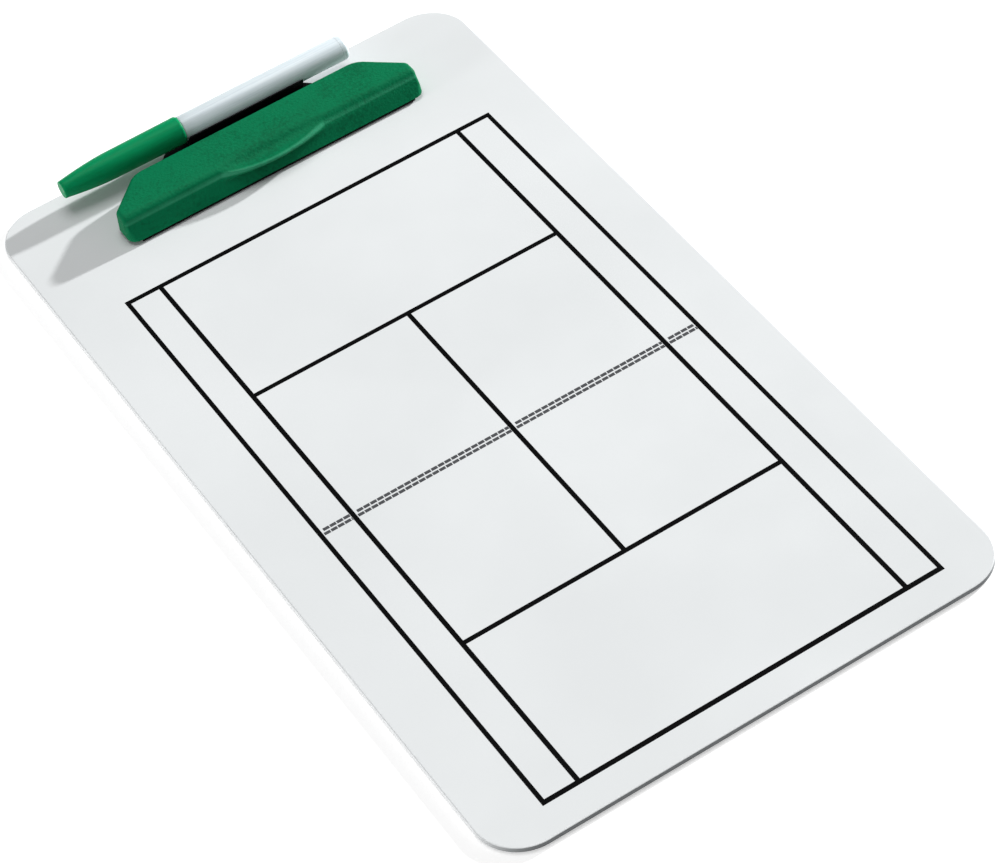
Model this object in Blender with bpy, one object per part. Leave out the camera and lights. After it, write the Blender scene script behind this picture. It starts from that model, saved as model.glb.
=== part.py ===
"""Coach's tactics board: a rigid writing board with a sprung clip and a stored dry-erase marker.

The board lies on its back. The origin is the middle of its underside, +Z points out of the writing
face, +Y towards the clip and +X to the right of a reader. All sizes are in metres.
"""

import math

import bmesh
import bpy
from mathutils import Matrix, Vector

# Board panel
BOARD_WIDTH = 0.2287
BOARD_LENGTH = 0.4139
BOARD_THICK = 0.0024
BOARD_CORNER = 0.0198
BOARD_EDGE_ROUND = 0.0005

# Clearances between separate pieces
SEAT_GAP = 0.0003
RUN_GAP = 0.0003
PIN_BORE_GAP = 0.0001

# Clip as a whole: its middle lies a little right of the board's, its pin this far from the top edge
CLIP_X = 0.0030
PIN_SETBACK = 0.0274
PIN_HEIGHT = 0.0056
PIN_RADIUS = 0.0015

# Moulded jaw, with heights counted from the board's writing face
JAW_HALF_LENGTH = 0.0738
JAW_FRONT = 0.0220
JAW_REAR = 0.0073
JAW_RIDGE_HEIGHT = 0.0123
JAW_TOP_FALL = math.radians(4.0)
JAW_FACE_LEAN = math.radians(30.0)
JAW_RIDGE_ROUND = 0.0030
JAW_EDGE_ROUND = 0.0014
JAW_END_DRAFT = 0.0004
JAW_WALL = 0.0020
JAW_FOOT = 0.0040
JAW_FOOT_HEIGHT = 0.0030
JAW_FOOT_CORNER_ROUND = 0.0055
JAW_TOP_CORNER_ROUND = 0.0015
JAW_CHAMFER_LONG = 0.0180
JAW_CHAMFER_DEEP = 0.0180
JAW_CHAMFER_ROUND = 0.0020
JAW_SHOULDER_ROUND = 0.0100
JAW_REAR_LIFT = 0.0026
REAR_WINDOW_TOP = 0.0076
REAR_WINDOW_SIDE_GAP = 0.00025
HOLLOW_SLOPE_HEIGHT = 0.0024
HOLLOW_SLOPE_SETBACK = 0.0016
HOLLOW_CORNER_ROUND = 0.0005

# Thumb lip in the middle of the jaw's front face
LIP_HALF_CHORD = 0.0260
LIP_REACH = 0.0051
LIP_HEIGHT = 0.0087
LIP_NOSE = 0.0009
LIP_ROOT_HEIGHT = 0.0062
SCOOP_DEPTH = 0.0030
SCOOP_FRONT = 0.0030
SCOOP_BACK = 0.0076
SCOOP_RUN = 0.0018
SCOOP_RISE = 0.0005
SCOOP_BRIM = 0.0009
SCOOP_RIDGE_SETBACK = 0.0006
LIP_STATIONS = 16

# Ribs inside the jaw
RIB_THICK = 0.0016
RIB_OUTER_SETBACK = 0.0148
RIB_INNER_SETBACK = 0.0288
RIB_FOOT_HEIGHT = 0.0065
KNUCKLE_RADIUS = 0.0034

# Rubber grip under the jaw's front foot
GRIP_THICK = 0.0010
GRIP_WIDTH = 0.0034
GRIP_END_SETBACK = 0.0060

# Clip base and its hinge ears
BASE_THICK = 0.0014
BASE_FRONT = 0.0125
EAR_OUTER = 0.0292
EAR_THICK = 0.0040
EAR_RADIUS = 0.0032
EAR_FLARE = 0.0020
BASE_REAR_MARGIN = 0.0012
BASE_WIDE = 0.0385
BASE_WIDE_GAP = 0.0009
BASE_SLANT = 0.0060
BASE_SLANT_START = 0.0025

# Torsion springs
SPRING_PLACE = 0.0080
SPRING_WIRE = 0.0012
SPRING_TURNS = 5
SPRING_PITCH = 0.0017
SPRING_PIN_GAP = 0.0004
SPRING_REAR_LEG = 0.0070
SPRING_FRONT_LEG = 0.0105
SPRING_LEG_RISE = math.radians(25.0)
KEEPER_BAR_RADIUS = 0.0011
KEEPER_REACH = 0.0090
KEEPER_HALF_DEEP = 0.0024
KEEPER_SIDE_GAP = 0.0012

# Rivets and their washers
RIVET_PLACE = 0.0200
RIVET_FORWARD = 0.0075
RIVET_SHANK_RADIUS = 0.0019
RIVET_HEAD_RADIUS = 0.0033
RIVET_HEAD_HEIGHT = 0.0013
RIVET_HOLE_GAP = 0.0003
RIVET_TAIL_RADIUS = 0.0032
RIVET_TAIL_THICK = 0.0005
WASHER_RADIUS = 0.0046
WASHER_THICK = 0.0004
BACK_RECESS = 0.0001
COUNTERBORE_RADIUS = 0.0052

# Marker, lying along X in the trough behind the jaw
MARKER_SETBACK = 0.0095
MARKER_HEIGHT = 0.0110
MARKER_TIP_X = -0.0812
MARKER_LENGTH = 0.1410
BARREL_RADIUS = 0.0057
BARREL_WALL = 0.0011
BARREL_NECK_RADIUS = 0.0051
BARREL_NECK_LENGTH = 0.0100
CAP_LENGTH = 0.0585
CAP_MOUTH_RADIUS = 0.0063
CAP_TIP_RADIUS = 0.0038
CAP_STRAIGHT = 0.0340
CAP_TAPER = 0.0002
CAP_WALL = 0.0009
CAP_TAPER_WALL = 0.0014
CAP_TIP_WALL = 0.0020
CAP_NECK_OVERRUN = 0.0020
SECTION_LENGTH = 0.0140
SECTION_FRONT_RADIUS = 0.0026
SECTION_FRONT_LENGTH = 0.0032
SECTION_PLUG_LENGTH = 0.0070
NIB_RADIUS = 0.0017
NIB_REACH = 0.0065
NIB_TAIL = 0.0130
LINER_WALL = 0.0008
LINER_LENGTH = 0.0120
RESERVOIR_RADIUS = 0.0040
PLUG_VISIBLE = 0.0030
PLUG_DEPTH = 0.0070
END_ROUND = 0.0018

# Trough that holds the marker, open upwards and a little to the front
TROUGH_RIGHT = 0.0350
TROUGH_CAP_GAP = 0.0006
TROUGH_REAR_LIP = math.radians(14.0)
TROUGH_FRONT_LIP = math.radians(-172.0)
TROUGH_LIP_THICK = 0.0006
TROUGH_BED_THICK = 0.0016
WEB_OFFSET = 0.0042
WEB_THICK = 0.0018

# Places that follow from the sizes above
BOARD_TOP = BOARD_THICK
TOP_EDGE_Y = BOARD_LENGTH / 2
PIN_Y = TOP_EDGE_Y - PIN_SETBACK
PIN_Z = BOARD_TOP + PIN_HEIGHT
MARKER_Y = TOP_EDGE_Y - MARKER_SETBACK
MARKER_Z = BOARD_TOP + MARKER_HEIGHT
JAW_FOOT_Z = BOARD_TOP + SEAT_GAP + GRIP_THICK + SEAT_GAP
CAP_MOUTH_X = MARKER_TIP_X + CAP_LENGTH
BARREL_START_X = CAP_MOUTH_X + SEAT_GAP
MARKER_END_X = MARKER_TIP_X + MARKER_LENGTH
BASE_Z = BOARD_TOP + SEAT_GAP
BASE_TOP_Z = BASE_Z + BASE_THICK
COIL_RADIUS = PIN_RADIUS + SPRING_PIN_GAP + SPRING_WIRE / 2
TROUGH_RADIUS = BARREL_RADIUS + RUN_GAP
ROUND_SIDES = 32
SMALL_SIDES = 20


def clear_scene():
    for old in list(bpy.data.objects):
        bpy.data.objects.remove(old, do_unlink=True)
    for old in list(bpy.data.meshes):
        bpy.data.meshes.remove(old)
    for old in list(bpy.data.materials):
        bpy.data.materials.remove(old)


def make_material(name, colour, roughness, metallic=0.0):
    material = bpy.data.materials.new(name)
    material.use_nodes = True
    shader = material.node_tree.nodes["Principled BSDF"]
    shader.inputs["Base Color"].default_value = (*colour, 1.0)
    shader.inputs["Roughness"].default_value = roughness
    shader.inputs["Metallic"].default_value = metallic
    return material


def finish_object(name, bm, material, smooth_angle=None, origin=None):
    """Turn a bmesh into a named object, with its faces outwards and its origin where asked."""
    bmesh.ops.recalc_face_normals(bm, faces=bm.faces)
    if origin is not None:
        bmesh.ops.translate(bm, verts=bm.verts, vec=-Vector(origin))
    mesh = bpy.data.meshes.new(name)
    bm.to_mesh(mesh)
    bm.free()
    if smooth_angle is not None:
        mesh.shade_smooth()
        mesh.set_sharp_from_angle(angle=smooth_angle)
    made = bpy.data.objects.new(name, mesh)
    bpy.context.scene.collection.objects.link(made)
    if origin is not None:
        made.location = origin
    if material is not None:
        mesh.materials.append(material)
    return made


def helper_object(name, bm, origin=None):
    """A cutter or a rib set that only shapes another object."""
    helper = finish_object(name, bm, None, origin=origin)
    helper.hide_render = True
    helper.display_type = "WIRE"
    return helper


def add_boolean(target, helper, operation):
    modifier = target.modifiers.new(helper.name, "BOOLEAN")
    modifier.operation = operation
    modifier.object = helper
    modifier.solver = "EXACT"


def add_prism(bm, outline, direction):
    """Add a closed prism: an outline of points, extruded along a direction."""
    base = [bm.verts.new(point) for point in outline]
    face = bm.faces.new(base)
    result = bmesh.ops.extrude_face_region(bm, geom=[face])
    moved = [item for item in result["geom"] if isinstance(item, bmesh.types.BMVert)]
    bmesh.ops.translate(bm, verts=moved, vec=direction)


def add_box(bm, low, high):
    outline = [(low[0], low[1], low[2]), (high[0], low[1], low[2]),
               (high[0], high[1], low[2]), (low[0], high[1], low[2])]
    add_prism(bm, outline, Vector((0.0, 0.0, high[2] - low[2])))


def add_turned(bm, profile, centre, axis, sides):
    """Spin a profile of (distance along the axis, radius) once round an axis through the centre."""
    axis = Vector(axis).normalized()
    side = axis.orthogonal().normalized()
    centre = Vector(centre)
    ring = [bm.verts.new(centre + axis * along + side * radius) for along, radius in profile]
    closed = profile[0][1] > 0.0
    pairs = list(zip(ring, ring[1:])) + ([(ring[-1], ring[0])] if closed else [])
    edges = [bm.edges.new(pair) for pair in pairs]
    bmesh.ops.spin(bm, geom=ring + edges, cent=centre, axis=axis, angle=2.0 * math.pi,
                   steps=sides, use_merge=True)
    bmesh.ops.remove_doubles(bm, verts=bm.verts, dist=0.000001)


def arc(centre, radius, start, end, steps):
    """Points on an arc in a plane, from one angle to another."""
    points = []
    for step in range(steps + 1):
        angle = start + (end - start) * step / steps
        points.append((centre[0] + radius * math.cos(angle), centre[1] + radius * math.sin(angle)))
    return points


def rounded_rectangle(half_x, half_y, radius, steps):
    points = []
    for quarter, (sign_x, sign_y) in enumerate(((1, 1), (-1, 1), (-1, -1), (1, -1))):
        centre = (sign_x * (half_x - radius), sign_y * (half_y - radius))
        start = quarter * math.pi / 2
        points += arc(centre, radius, start, start + math.pi / 2, steps)
    return points


def cylinder_cutter(bm, centre, axis, radius, length, sides):
    half = length / 2
    profile = [(-half, 0.0), (-half, radius), (half, radius), (half, 0.0)]
    add_turned(bm, profile, centre, axis, sides)


def rivet_spots():
    return [(CLIP_X + sign * RIVET_PLACE, PIN_Y - RIVET_FORWARD) for sign in (-1, 1)]


def build_board(material):
    """Flat panel with round corners, softened edges and two counterbored rivet holes."""
    bm = bmesh.new()
    outline = rounded_rectangle(BOARD_WIDTH / 2, BOARD_LENGTH / 2, BOARD_CORNER, 10)
    add_prism(bm, [(x, y, 0.0) for x, y in outline], Vector((0.0, 0.0, BOARD_THICK)))
    rims = [edge for edge in bm.edges
            if abs(edge.verts[0].co.z - edge.verts[1].co.z) < BOARD_THICK / 2]
    bmesh.ops.bevel(bm, geom=rims, offset=BOARD_EDGE_ROUND, segments=2, profile=0.5,
                    affect="EDGES", material=-1)
    board = finish_object("board_panel", bm, material, math.radians(35))

    holes = bmesh.new()
    depth = BACK_RECESS + RIVET_TAIL_THICK + WASHER_THICK + 2 * SEAT_GAP
    for x, y in rivet_spots():
        profile = [(-BOARD_THICK, 0.0), (-BOARD_THICK, COUNTERBORE_RADIUS),
                   (depth, COUNTERBORE_RADIUS), (depth, RIVET_SHANK_RADIUS + RIVET_HOLE_GAP),
                   (2 * BOARD_THICK, RIVET_SHANK_RADIUS + RIVET_HOLE_GAP), (2 * BOARD_THICK, 0.0)]
        add_turned(holes, profile, (x, y, 0.0), (0, 0, 1), SMALL_SIDES)
    add_boolean(board, helper_object("cut_board_holes", holes), "DIFFERENCE")


def trough_thickness(angle):
    """Wall of the trough: thickest at the bed, thin at both springy lips."""
    middle = (TROUGH_REAR_LIP + TROUGH_FRONT_LIP) / 2
    reach = (TROUGH_REAR_LIP - TROUGH_FRONT_LIP) / 2
    share = abs(angle - middle) / reach
    return TROUGH_BED_THICK + (TROUGH_LIP_THICK - TROUGH_BED_THICK) * share ** 2


def trough_outline():
    """Section of the trough and its two webs, in Y and Z, running down into the base plate."""
    foot_z = (BASE_Z + BASE_TOP_Z) / 2

    def outer(angle):
        radius = TROUGH_RADIUS + trough_thickness(angle)
        return (MARKER_Y + radius * math.cos(angle), MARKER_Z + radius * math.sin(angle))

    def outer_at_offset(offset):
        reach = TROUGH_RADIUS + TROUGH_BED_THICK
        return -math.acos(offset / reach)

    web_far = outer_at_offset(WEB_OFFSET + WEB_THICK / 2)
    web_near = outer_at_offset(WEB_OFFSET - WEB_THICK / 2)
    points = []
    for step in range(6):
        points.append(outer(TROUGH_REAR_LIP + (web_far - TROUGH_REAR_LIP) * step / 5))
    points.append((MARKER_Y + WEB_OFFSET + WEB_THICK / 2, foot_z))
    points.append((MARKER_Y + WEB_OFFSET - WEB_THICK / 2, foot_z))
    for step in range(5):
        points.append(outer(web_near + (-math.pi - 2 * web_near) * step / 4))
    points.append((MARKER_Y - WEB_OFFSET + WEB_THICK / 2, foot_z))
    points.append((MARKER_Y - WEB_OFFSET - WEB_THICK / 2, foot_z))
    front_far = -math.pi - web_far
    for step in range(4):
        points.append(outer(front_far + (TROUGH_FRONT_LIP - front_far) * step / 3))
    points += arc((MARKER_Y, MARKER_Z), TROUGH_RADIUS, TROUGH_FRONT_LIP, TROUGH_REAR_LIP, 18)
    return points


def build_base(material):
    """Base plate with two hinge ears and the marker trough, riveted to the board."""
    bm = bmesh.new()
    plate_rear = MARKER_Y + WEB_OFFSET + WEB_THICK / 2 + BASE_REAR_MARGIN
    step_y = PIN_Y + JAW_REAR + BASE_WIDE_GAP
    slant_y = MARKER_Y - BASE_SLANT_START
    trough_left = CAP_MOUTH_X + TROUGH_CAP_GAP
    half = [(EAR_OUTER, PIN_Y - BASE_FRONT), (EAR_OUTER, step_y), (BASE_WIDE, step_y),
            (BASE_WIDE, slant_y), (BASE_WIDE - BASE_SLANT, slant_y + BASE_SLANT),
            (BASE_WIDE - BASE_SLANT, plate_rear)]
    outline = [(CLIP_X + x, y) for x, y in half] + [(CLIP_X - x, y) for x, y in reversed(half)]
    add_prism(bm, [(x, y, BASE_Z) for x, y in outline], Vector((0.0, 0.0, BASE_THICK)))
    base = finish_object("clip_base", bm, material, math.radians(30))

    trough = bmesh.new()
    add_prism(trough, [(trough_left, y, z) for y, z in trough_outline()],
              Vector((TROUGH_RIGHT - trough_left, 0.0, 0.0)))
    add_boolean(base, helper_object("add_trough", trough), "UNION")

    ears = bmesh.new()
    foot_z = (BASE_Z + BASE_TOP_Z) / 2
    section = [(PIN_Y + EAR_RADIUS, foot_z)]
    section += arc((PIN_Y, PIN_Z), EAR_RADIUS, 0.0, math.pi, 10)
    section.append((PIN_Y - EAR_RADIUS - EAR_FLARE, foot_z))
    for sign in (-1, 1):
        start = CLIP_X + (EAR_OUTER if sign > 0 else EAR_THICK - EAR_OUTER) - EAR_THICK
        add_prism(ears, [(start, y, z) for y, z in section], Vector((EAR_THICK, 0.0, 0.0)))
    add_boolean(base, helper_object("add_ears", ears), "UNION")

    holes = bmesh.new()
    cylinder_cutter(holes, (CLIP_X, PIN_Y, PIN_Z), (1, 0, 0), PIN_RADIUS + PIN_BORE_GAP,
                    4 * EAR_OUTER, SMALL_SIDES)
    for x, y in rivet_spots():
        cylinder_cutter(holes, (x, y, BASE_Z), (0, 0, 1), RIVET_SHANK_RADIUS + RIVET_HOLE_GAP,
                        8 * BASE_THICK, SMALL_SIDES)
    add_boolean(base, helper_object("cut_base_holes", holes), "DIFFERENCE")


def lip_share(x):
    """How far the thumb lip stands out at x: a shallow arc in plan, from 0 at its ends to 1."""
    offset = abs(x - CLIP_X)
    if offset >= LIP_HALF_CHORD:
        return 0.0
    radius = (LIP_HALF_CHORD ** 2 + LIP_REACH ** 2) / (2 * LIP_REACH)
    return (math.sqrt(radius ** 2 - offset ** 2) - (radius - LIP_REACH)) / LIP_REACH


def jaw_face_setback(height):
    """How far the plain front face has leaned back at a height above the board."""
    return (BOARD_TOP + height - JAW_FOOT_Z) * math.tan(JAW_FACE_LEAN)


def plain_section():
    """Front face without the lip: a leaning plane that rolls over into the top, front to back."""
    foot = JAW_FOOT_Z - BOARD_TOP
    centre_z = JAW_RIDGE_HEIGHT - JAW_RIDGE_ROUND
    roll_start = centre_z + JAW_RIDGE_ROUND * math.sin(JAW_FACE_LEAN)
    centre_y = jaw_face_setback(roll_start) + JAW_RIDGE_ROUND * math.cos(JAW_FACE_LEAN)
    points = []
    for share in (0.0, 0.36, 0.6, 0.72, 0.8, 0.88, 0.94):
        height = foot + (roll_start - foot) * share
        points.append((jaw_face_setback(height), height))
    for along, height in arc((centre_y, centre_z), JAW_RIDGE_ROUND,
                             math.pi - JAW_FACE_LEAN, math.pi / 2, 4):
        points.append((along, height))
    return points


def lip_section():
    """Front face through the middle of the lip: root, round nose, scooped shelf and ridge."""
    plain = plain_section()
    nose_y = jaw_face_setback(LIP_HEIGHT) - LIP_REACH + LIP_NOSE
    root = (jaw_face_setback(LIP_ROOT_HEIGHT), LIP_ROOT_HEIGHT)
    nose = arc((nose_y, LIP_HEIGHT), LIP_NOSE, math.radians(250), math.radians(80), 4)
    shelf_z = JAW_RIDGE_HEIGHT - SCOOP_DEPTH
    top_y = plain[-1][0]
    rise = [(SCOOP_FRONT, shelf_z), (SCOOP_BACK - SCOOP_RUN, shelf_z + SCOOP_RISE),
            (SCOOP_BACK, JAW_RIDGE_HEIGHT - SCOOP_BRIM)]
    ridge = (top_y + SCOOP_RIDGE_SETBACK,
             JAW_RIDGE_HEIGHT - SCOOP_RIDGE_SETBACK * math.tan(JAW_TOP_FALL))
    return [plain[0], plain[1], root] + nose + rise + [ridge]


def jaw_top(y):
    """Height of the sloping top face above the board at a place along Y."""
    ridge_y = PIN_Y - JAW_FRONT + plain_section()[-1][0]
    return JAW_RIDGE_HEIGHT - (y - ridge_y) * math.tan(JAW_TOP_FALL)


def rounded_bend(before, corner, after, radius, steps):
    """Replace a corner of an outline by a tangent arc."""
    before = Vector(before)
    corner = Vector(corner)
    after = Vector(after)
    incoming = (before - corner).normalized()
    outgoing = (after - corner).normalized()
    half = incoming.angle(outgoing) / 2
    centre = corner + (incoming + outgoing).normalized() * (radius / math.sin(half))
    start = corner + incoming * (radius / math.tan(half)) - centre
    end = corner + outgoing * (radius / math.tan(half)) - centre
    points = []
    for step in range(steps + 1):
        spoke = start.lerp(end, step / steps).normalized() * radius
        points.append(tuple(centre + spoke))
    return points


def right_end_outline(front_y, inset, rounds):
    """Plan of the jaw's right end from its front corner to its rear edge, drawn in by an inset."""
    end_x = CLIP_X + JAW_HALF_LENGTH - inset
    rear_y = PIN_Y + JAW_REAR - inset
    slant = math.atan2(JAW_CHAMFER_DEEP, JAW_CHAMFER_LONG)
    shift = inset * math.tan(slant / 2)
    low_y = PIN_Y + JAW_REAR - JAW_CHAMFER_DEEP
    bend_low = (end_x, low_y - inset * math.tan(math.pi / 4 - slant / 2))
    bend_high = (end_x - JAW_CHAMFER_LONG + inset - shift, rear_y)
    corner = (end_x, front_y)
    points = rounded_bend((CLIP_X, front_y), corner, bend_low, rounds[0], 5)
    points += rounded_bend(corner, bend_low, bend_high, rounds[1], 2)
    points += rounded_bend(bend_low, bend_high, (CLIP_X, rear_y), rounds[2], 5)
    return points


def jaw_loop(front, inset, height_of, rounds):
    """One closed loop of the jaw: the front line left to right, then its end, rear and other end."""
    end_front_y = PIN_Y - JAW_FRONT + front(CLIP_X + JAW_HALF_LENGTH)[0]
    right = right_end_outline(end_front_y, inset, rounds)
    left = [(2 * CLIP_X - x, y) for x, y in reversed(right)]
    loop = []
    inner_stations = [CLIP_X - LIP_HALF_CHORD + 2 * LIP_HALF_CHORD * step / LIP_STATIONS
                      for step in range(LIP_STATIONS + 1)]
    for x in inner_stations:
        setback, height = front(x)
        loop.append(Vector((x, PIN_Y - JAW_FRONT + setback, BOARD_TOP + height)))
    lift = front(CLIP_X + JAW_HALF_LENGTH)[1] - height_of(end_front_y)
    for x, y in right + left:
        depth = min(max((y - end_front_y) / rounds[0], 0.0), 1.0)
        loop.append(Vector((x, y, BOARD_TOP + height_of(y) + lift * (1 - depth))))
    return loop


def outer_loops():
    """Loops of the outside of the jaw, from its foot up to the edge of its top face."""
    plain = plain_section()
    lip = lip_section()
    count = len(plain)
    roll_from = count - 5
    loops = []
    for level in range(count):
        def front(x, level=level):
            share = lip_share(x)
            return (plain[level][0] + (lip[level][0] - plain[level][0]) * share,
                    plain[level][1] + (lip[level][1] - plain[level][1]) * share)

        if level <= roll_from:
            rise = level / roll_from
            inset = JAW_END_DRAFT * rise
            turn = 0.0
        else:
            turn = (level - roll_from) / (count - 1 - roll_from) * math.pi / 2
            inset = JAW_END_DRAFT + JAW_EDGE_ROUND * (1 - math.cos(turn))
            rise = 1.0

        def height_of(y, rise=rise, turn=turn):
            rear = min(max((y - PIN_Y) / JAW_REAR, 0.0), 1.0)
            foot = JAW_FOOT_Z - BOARD_TOP + JAW_REAR_LIFT * rear
            wall_top = jaw_top(y) - JAW_EDGE_ROUND
            return foot + (wall_top - foot) * rise + JAW_EDGE_ROUND * math.sin(turn)

        climb = level / (count - 1)
        corner = JAW_FOOT_CORNER_ROUND + (JAW_TOP_CORNER_ROUND - JAW_FOOT_CORNER_ROUND) * climb
        rounds = (corner, JAW_CHAMFER_ROUND, JAW_SHOULDER_ROUND)
        loops.append(jaw_loop(front, inset, height_of, rounds))
    return loops


def inner_loops():
    """Loops of the hollow, from the foot up to the ceiling."""
    foot = JAW_FOOT_Z - BOARD_TOP
    lean = JAW_WALL / math.cos(JAW_FACE_LEAN)
    ceiling = JAW_RIDGE_HEIGHT - JAW_WALL
    low = foot + JAW_FOOT_HEIGHT
    high = ceiling - HOLLOW_SLOPE_HEIGHT
    ceiling_front = jaw_face_setback(ceiling) + lean + HOLLOW_SLOPE_SETBACK
    ceiling_height = jaw_top(PIN_Y - JAW_FRONT + ceiling_front) - JAW_WALL
    fronts = [(JAW_FOOT, foot), (JAW_FOOT, low), (jaw_face_setback(high) + lean, high),
              (ceiling_front, ceiling_height)]
    loops = []
    for level, (setback, height) in enumerate(fronts):
        def front(x, setback=setback, height=height):
            return (setback, height)

        def height_of(y, level=level, height=height):
            rear = min(max((y - PIN_Y) / JAW_REAR, 0.0), 1.0)
            if level == 0:
                return foot + JAW_REAR_LIFT * rear
            top = jaw_top(y) - JAW_WALL
            return min(height, top) if level < 3 else top

        inset = JAW_WALL + (JAW_WALL / 2 if level == 3 else 0.0)
        rounds = (HOLLOW_CORNER_ROUND, HOLLOW_CORNER_ROUND, JAW_SHOULDER_ROUND - inset)
        loops.append(jaw_loop(front, inset, height_of, rounds))
    return loops


def extrude_loop(bm, loop, points):
    """Extrude a closed loop of vertices and move the new loop to the given points."""
    count = len(loop)
    edges = [bm.edges.get((loop[i], loop[(i + 1) % count])) for i in range(count)]
    result = bmesh.ops.extrude_edge_only(bm, edges=edges)
    fresh = {item for item in result["geom"] if isinstance(item, bmesh.types.BMVert)}
    above = []
    for vertex in loop:
        partner = next(edge.other_vert(vertex) for edge in vertex.link_edges
                       if edge.other_vert(vertex) in fresh)
        above.append(partner)
    for vertex, point in zip(above, points):
        vertex.co = point
    return above


def jaw_rear_y(offset):
    """Outside of the jaw's rear edge at a distance from the clip's middle, with its cut corners."""
    past = max(offset - (JAW_HALF_LENGTH - JAW_CHAMFER_LONG), 0.0)
    return PIN_Y + JAW_REAR - past * JAW_CHAMFER_DEEP / JAW_CHAMFER_LONG


def jaw_rib_section(offset, foot_height):
    """Side view of a rib that fills the hollow's section, sunk half a wall into the shell."""
    bite = JAW_WALL / 2
    front_y = PIN_Y - JAW_FRONT
    rear_y = jaw_rear_y(offset + RIB_THICK / 2) - bite
    low = (front_y + jaw_face_setback(foot_height) + bite, BOARD_TOP + foot_height)
    high_z = JAW_RIDGE_HEIGHT - JAW_WALL - bite
    high = (front_y + jaw_face_setback(high_z) + bite, BOARD_TOP + high_z)
    ridge_y = front_y + plain_section()[-1][0]
    return [low, high, (ridge_y, BOARD_TOP + jaw_top(ridge_y) - bite),
            (rear_y, BOARD_TOP + jaw_top(rear_y) - bite),
            (rear_y, BOARD_TOP + foot_height + JAW_WALL / 2)]


def spring_leg_height(distance):
    """Height of the front leg's centre line at a distance ahead of the pin."""
    leave = -math.pi / 2 - SPRING_LEG_RISE
    start_y = -COIL_RADIUS * math.cos(leave)
    start_z = PIN_HEIGHT + COIL_RADIUS * math.sin(leave)
    return start_z + (distance - start_y) * math.tan(SPRING_LEG_RISE)


def keeper_bar_centre():
    drop = (SPRING_WIRE / 2 + SEAT_GAP + KEEPER_BAR_RADIUS) / math.cos(SPRING_LEG_RISE)
    return (PIN_Y - KEEPER_REACH, BOARD_TOP + spring_leg_height(KEEPER_REACH) - drop)


def build_jaw(material, pin_place):
    """Moulded jaw: a hollow shell with a thumb lip, ribs, two hinge knuckles and spring keepers."""
    bm = bmesh.new()
    outer = outer_loops()
    start = [bm.verts.new(point) for point in outer[0]]
    for index, vertex in enumerate(start):
        bm.edges.new((vertex, start[(index + 1) % len(start)]))
    loop = start
    for points in outer[1:]:
        loop = extrude_loop(bm, loop, points)
    bm.faces.new(loop)
    loop = start
    for points in inner_loops():
        loop = extrude_loop(bm, loop, points)
    bm.faces.new(loop)
    jaw = finish_object("clip_jaw", bm, material, math.radians(40), origin=pin_place)

    ribs = bmesh.new()
    for setback in (RIB_OUTER_SETBACK, RIB_INNER_SETBACK):
        place = JAW_HALF_LENGTH - setback
        for sign in (-1, 1):
            start_x = CLIP_X + sign * place - RIB_THICK / 2
            section = jaw_rib_section(place, RIB_FOOT_HEIGHT)
            add_prism(ribs, [(start_x, y, z) for y, z in section], Vector((RIB_THICK, 0, 0)))
    wall_middle = PIN_Y + JAW_REAR - JAW_WALL / 2
    knuckle_top = BOARD_TOP + jaw_top(wall_middle) - JAW_WALL / 2
    knuckle = [(wall_middle, knuckle_top), (wall_middle, PIN_Z)]
    knuckle += arc((PIN_Y, PIN_Z), KNUCKLE_RADIUS, -math.pi / 8, -math.pi, 8)
    knuckle.append((PIN_Y - KNUCKLE_RADIUS, knuckle_top))
    for sign in (-1, 1):
        near = EAR_OUTER + RUN_GAP
        start_x = CLIP_X + (near if sign > 0 else -near - EAR_THICK)
        add_prism(ribs, [(start_x, y, z) for y, z in knuckle], Vector((EAR_THICK, 0, 0)))
    bar_y, bar_z = keeper_bar_centre()
    keeper_low = bar_z - KEEPER_BAR_RADIUS
    keeper_high = BOARD_TOP + jaw_top(bar_y + KEEPER_HALF_DEEP) - JAW_WALL / 2
    keeper_half = SPRING_WIRE / 2 + KEEPER_SIDE_GAP + RIB_THICK / 2
    for sign in (-1, 1):
        for side in (-1, 1):
            middle = CLIP_X + sign * SPRING_PLACE + side * keeper_half
            add_box(ribs, (middle - RIB_THICK / 2, bar_y - KEEPER_HALF_DEEP, keeper_low),
                    (middle + RIB_THICK / 2, bar_y + KEEPER_HALF_DEEP, keeper_high))
    add_boolean(jaw, helper_object("add_ribs", ribs, origin=pin_place), "UNION")

    bars = bmesh.new()
    for sign in (-1, 1):
        cylinder_cutter(bars, (CLIP_X + sign * SPRING_PLACE, bar_y, bar_z), (1, 0, 0),
                        KEEPER_BAR_RADIUS, 2 * keeper_half, 12)
    add_boolean(jaw, helper_object("add_keeper_bars", bars, origin=pin_place), "UNION")

    cuts = bmesh.new()
    cylinder_cutter(cuts, (CLIP_X, PIN_Y, PIN_Z), (1, 0, 0), PIN_RADIUS + PIN_BORE_GAP,
                    2 * (EAR_OUTER + 2 * EAR_THICK), SMALL_SIDES)
    window_half = EAR_OUTER + REAR_WINDOW_SIDE_GAP
    add_box(cuts, (CLIP_X - window_half, PIN_Y + JAW_REAR - 1.3 * JAW_WALL, BOARD_TOP),
            (CLIP_X + window_half, PIN_Y + 2 * JAW_REAR, BOARD_TOP + REAR_WINDOW_TOP))
    add_boolean(jaw, helper_object("cut_jaw", cuts, origin=pin_place), "DIFFERENCE")
    return jaw


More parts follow.
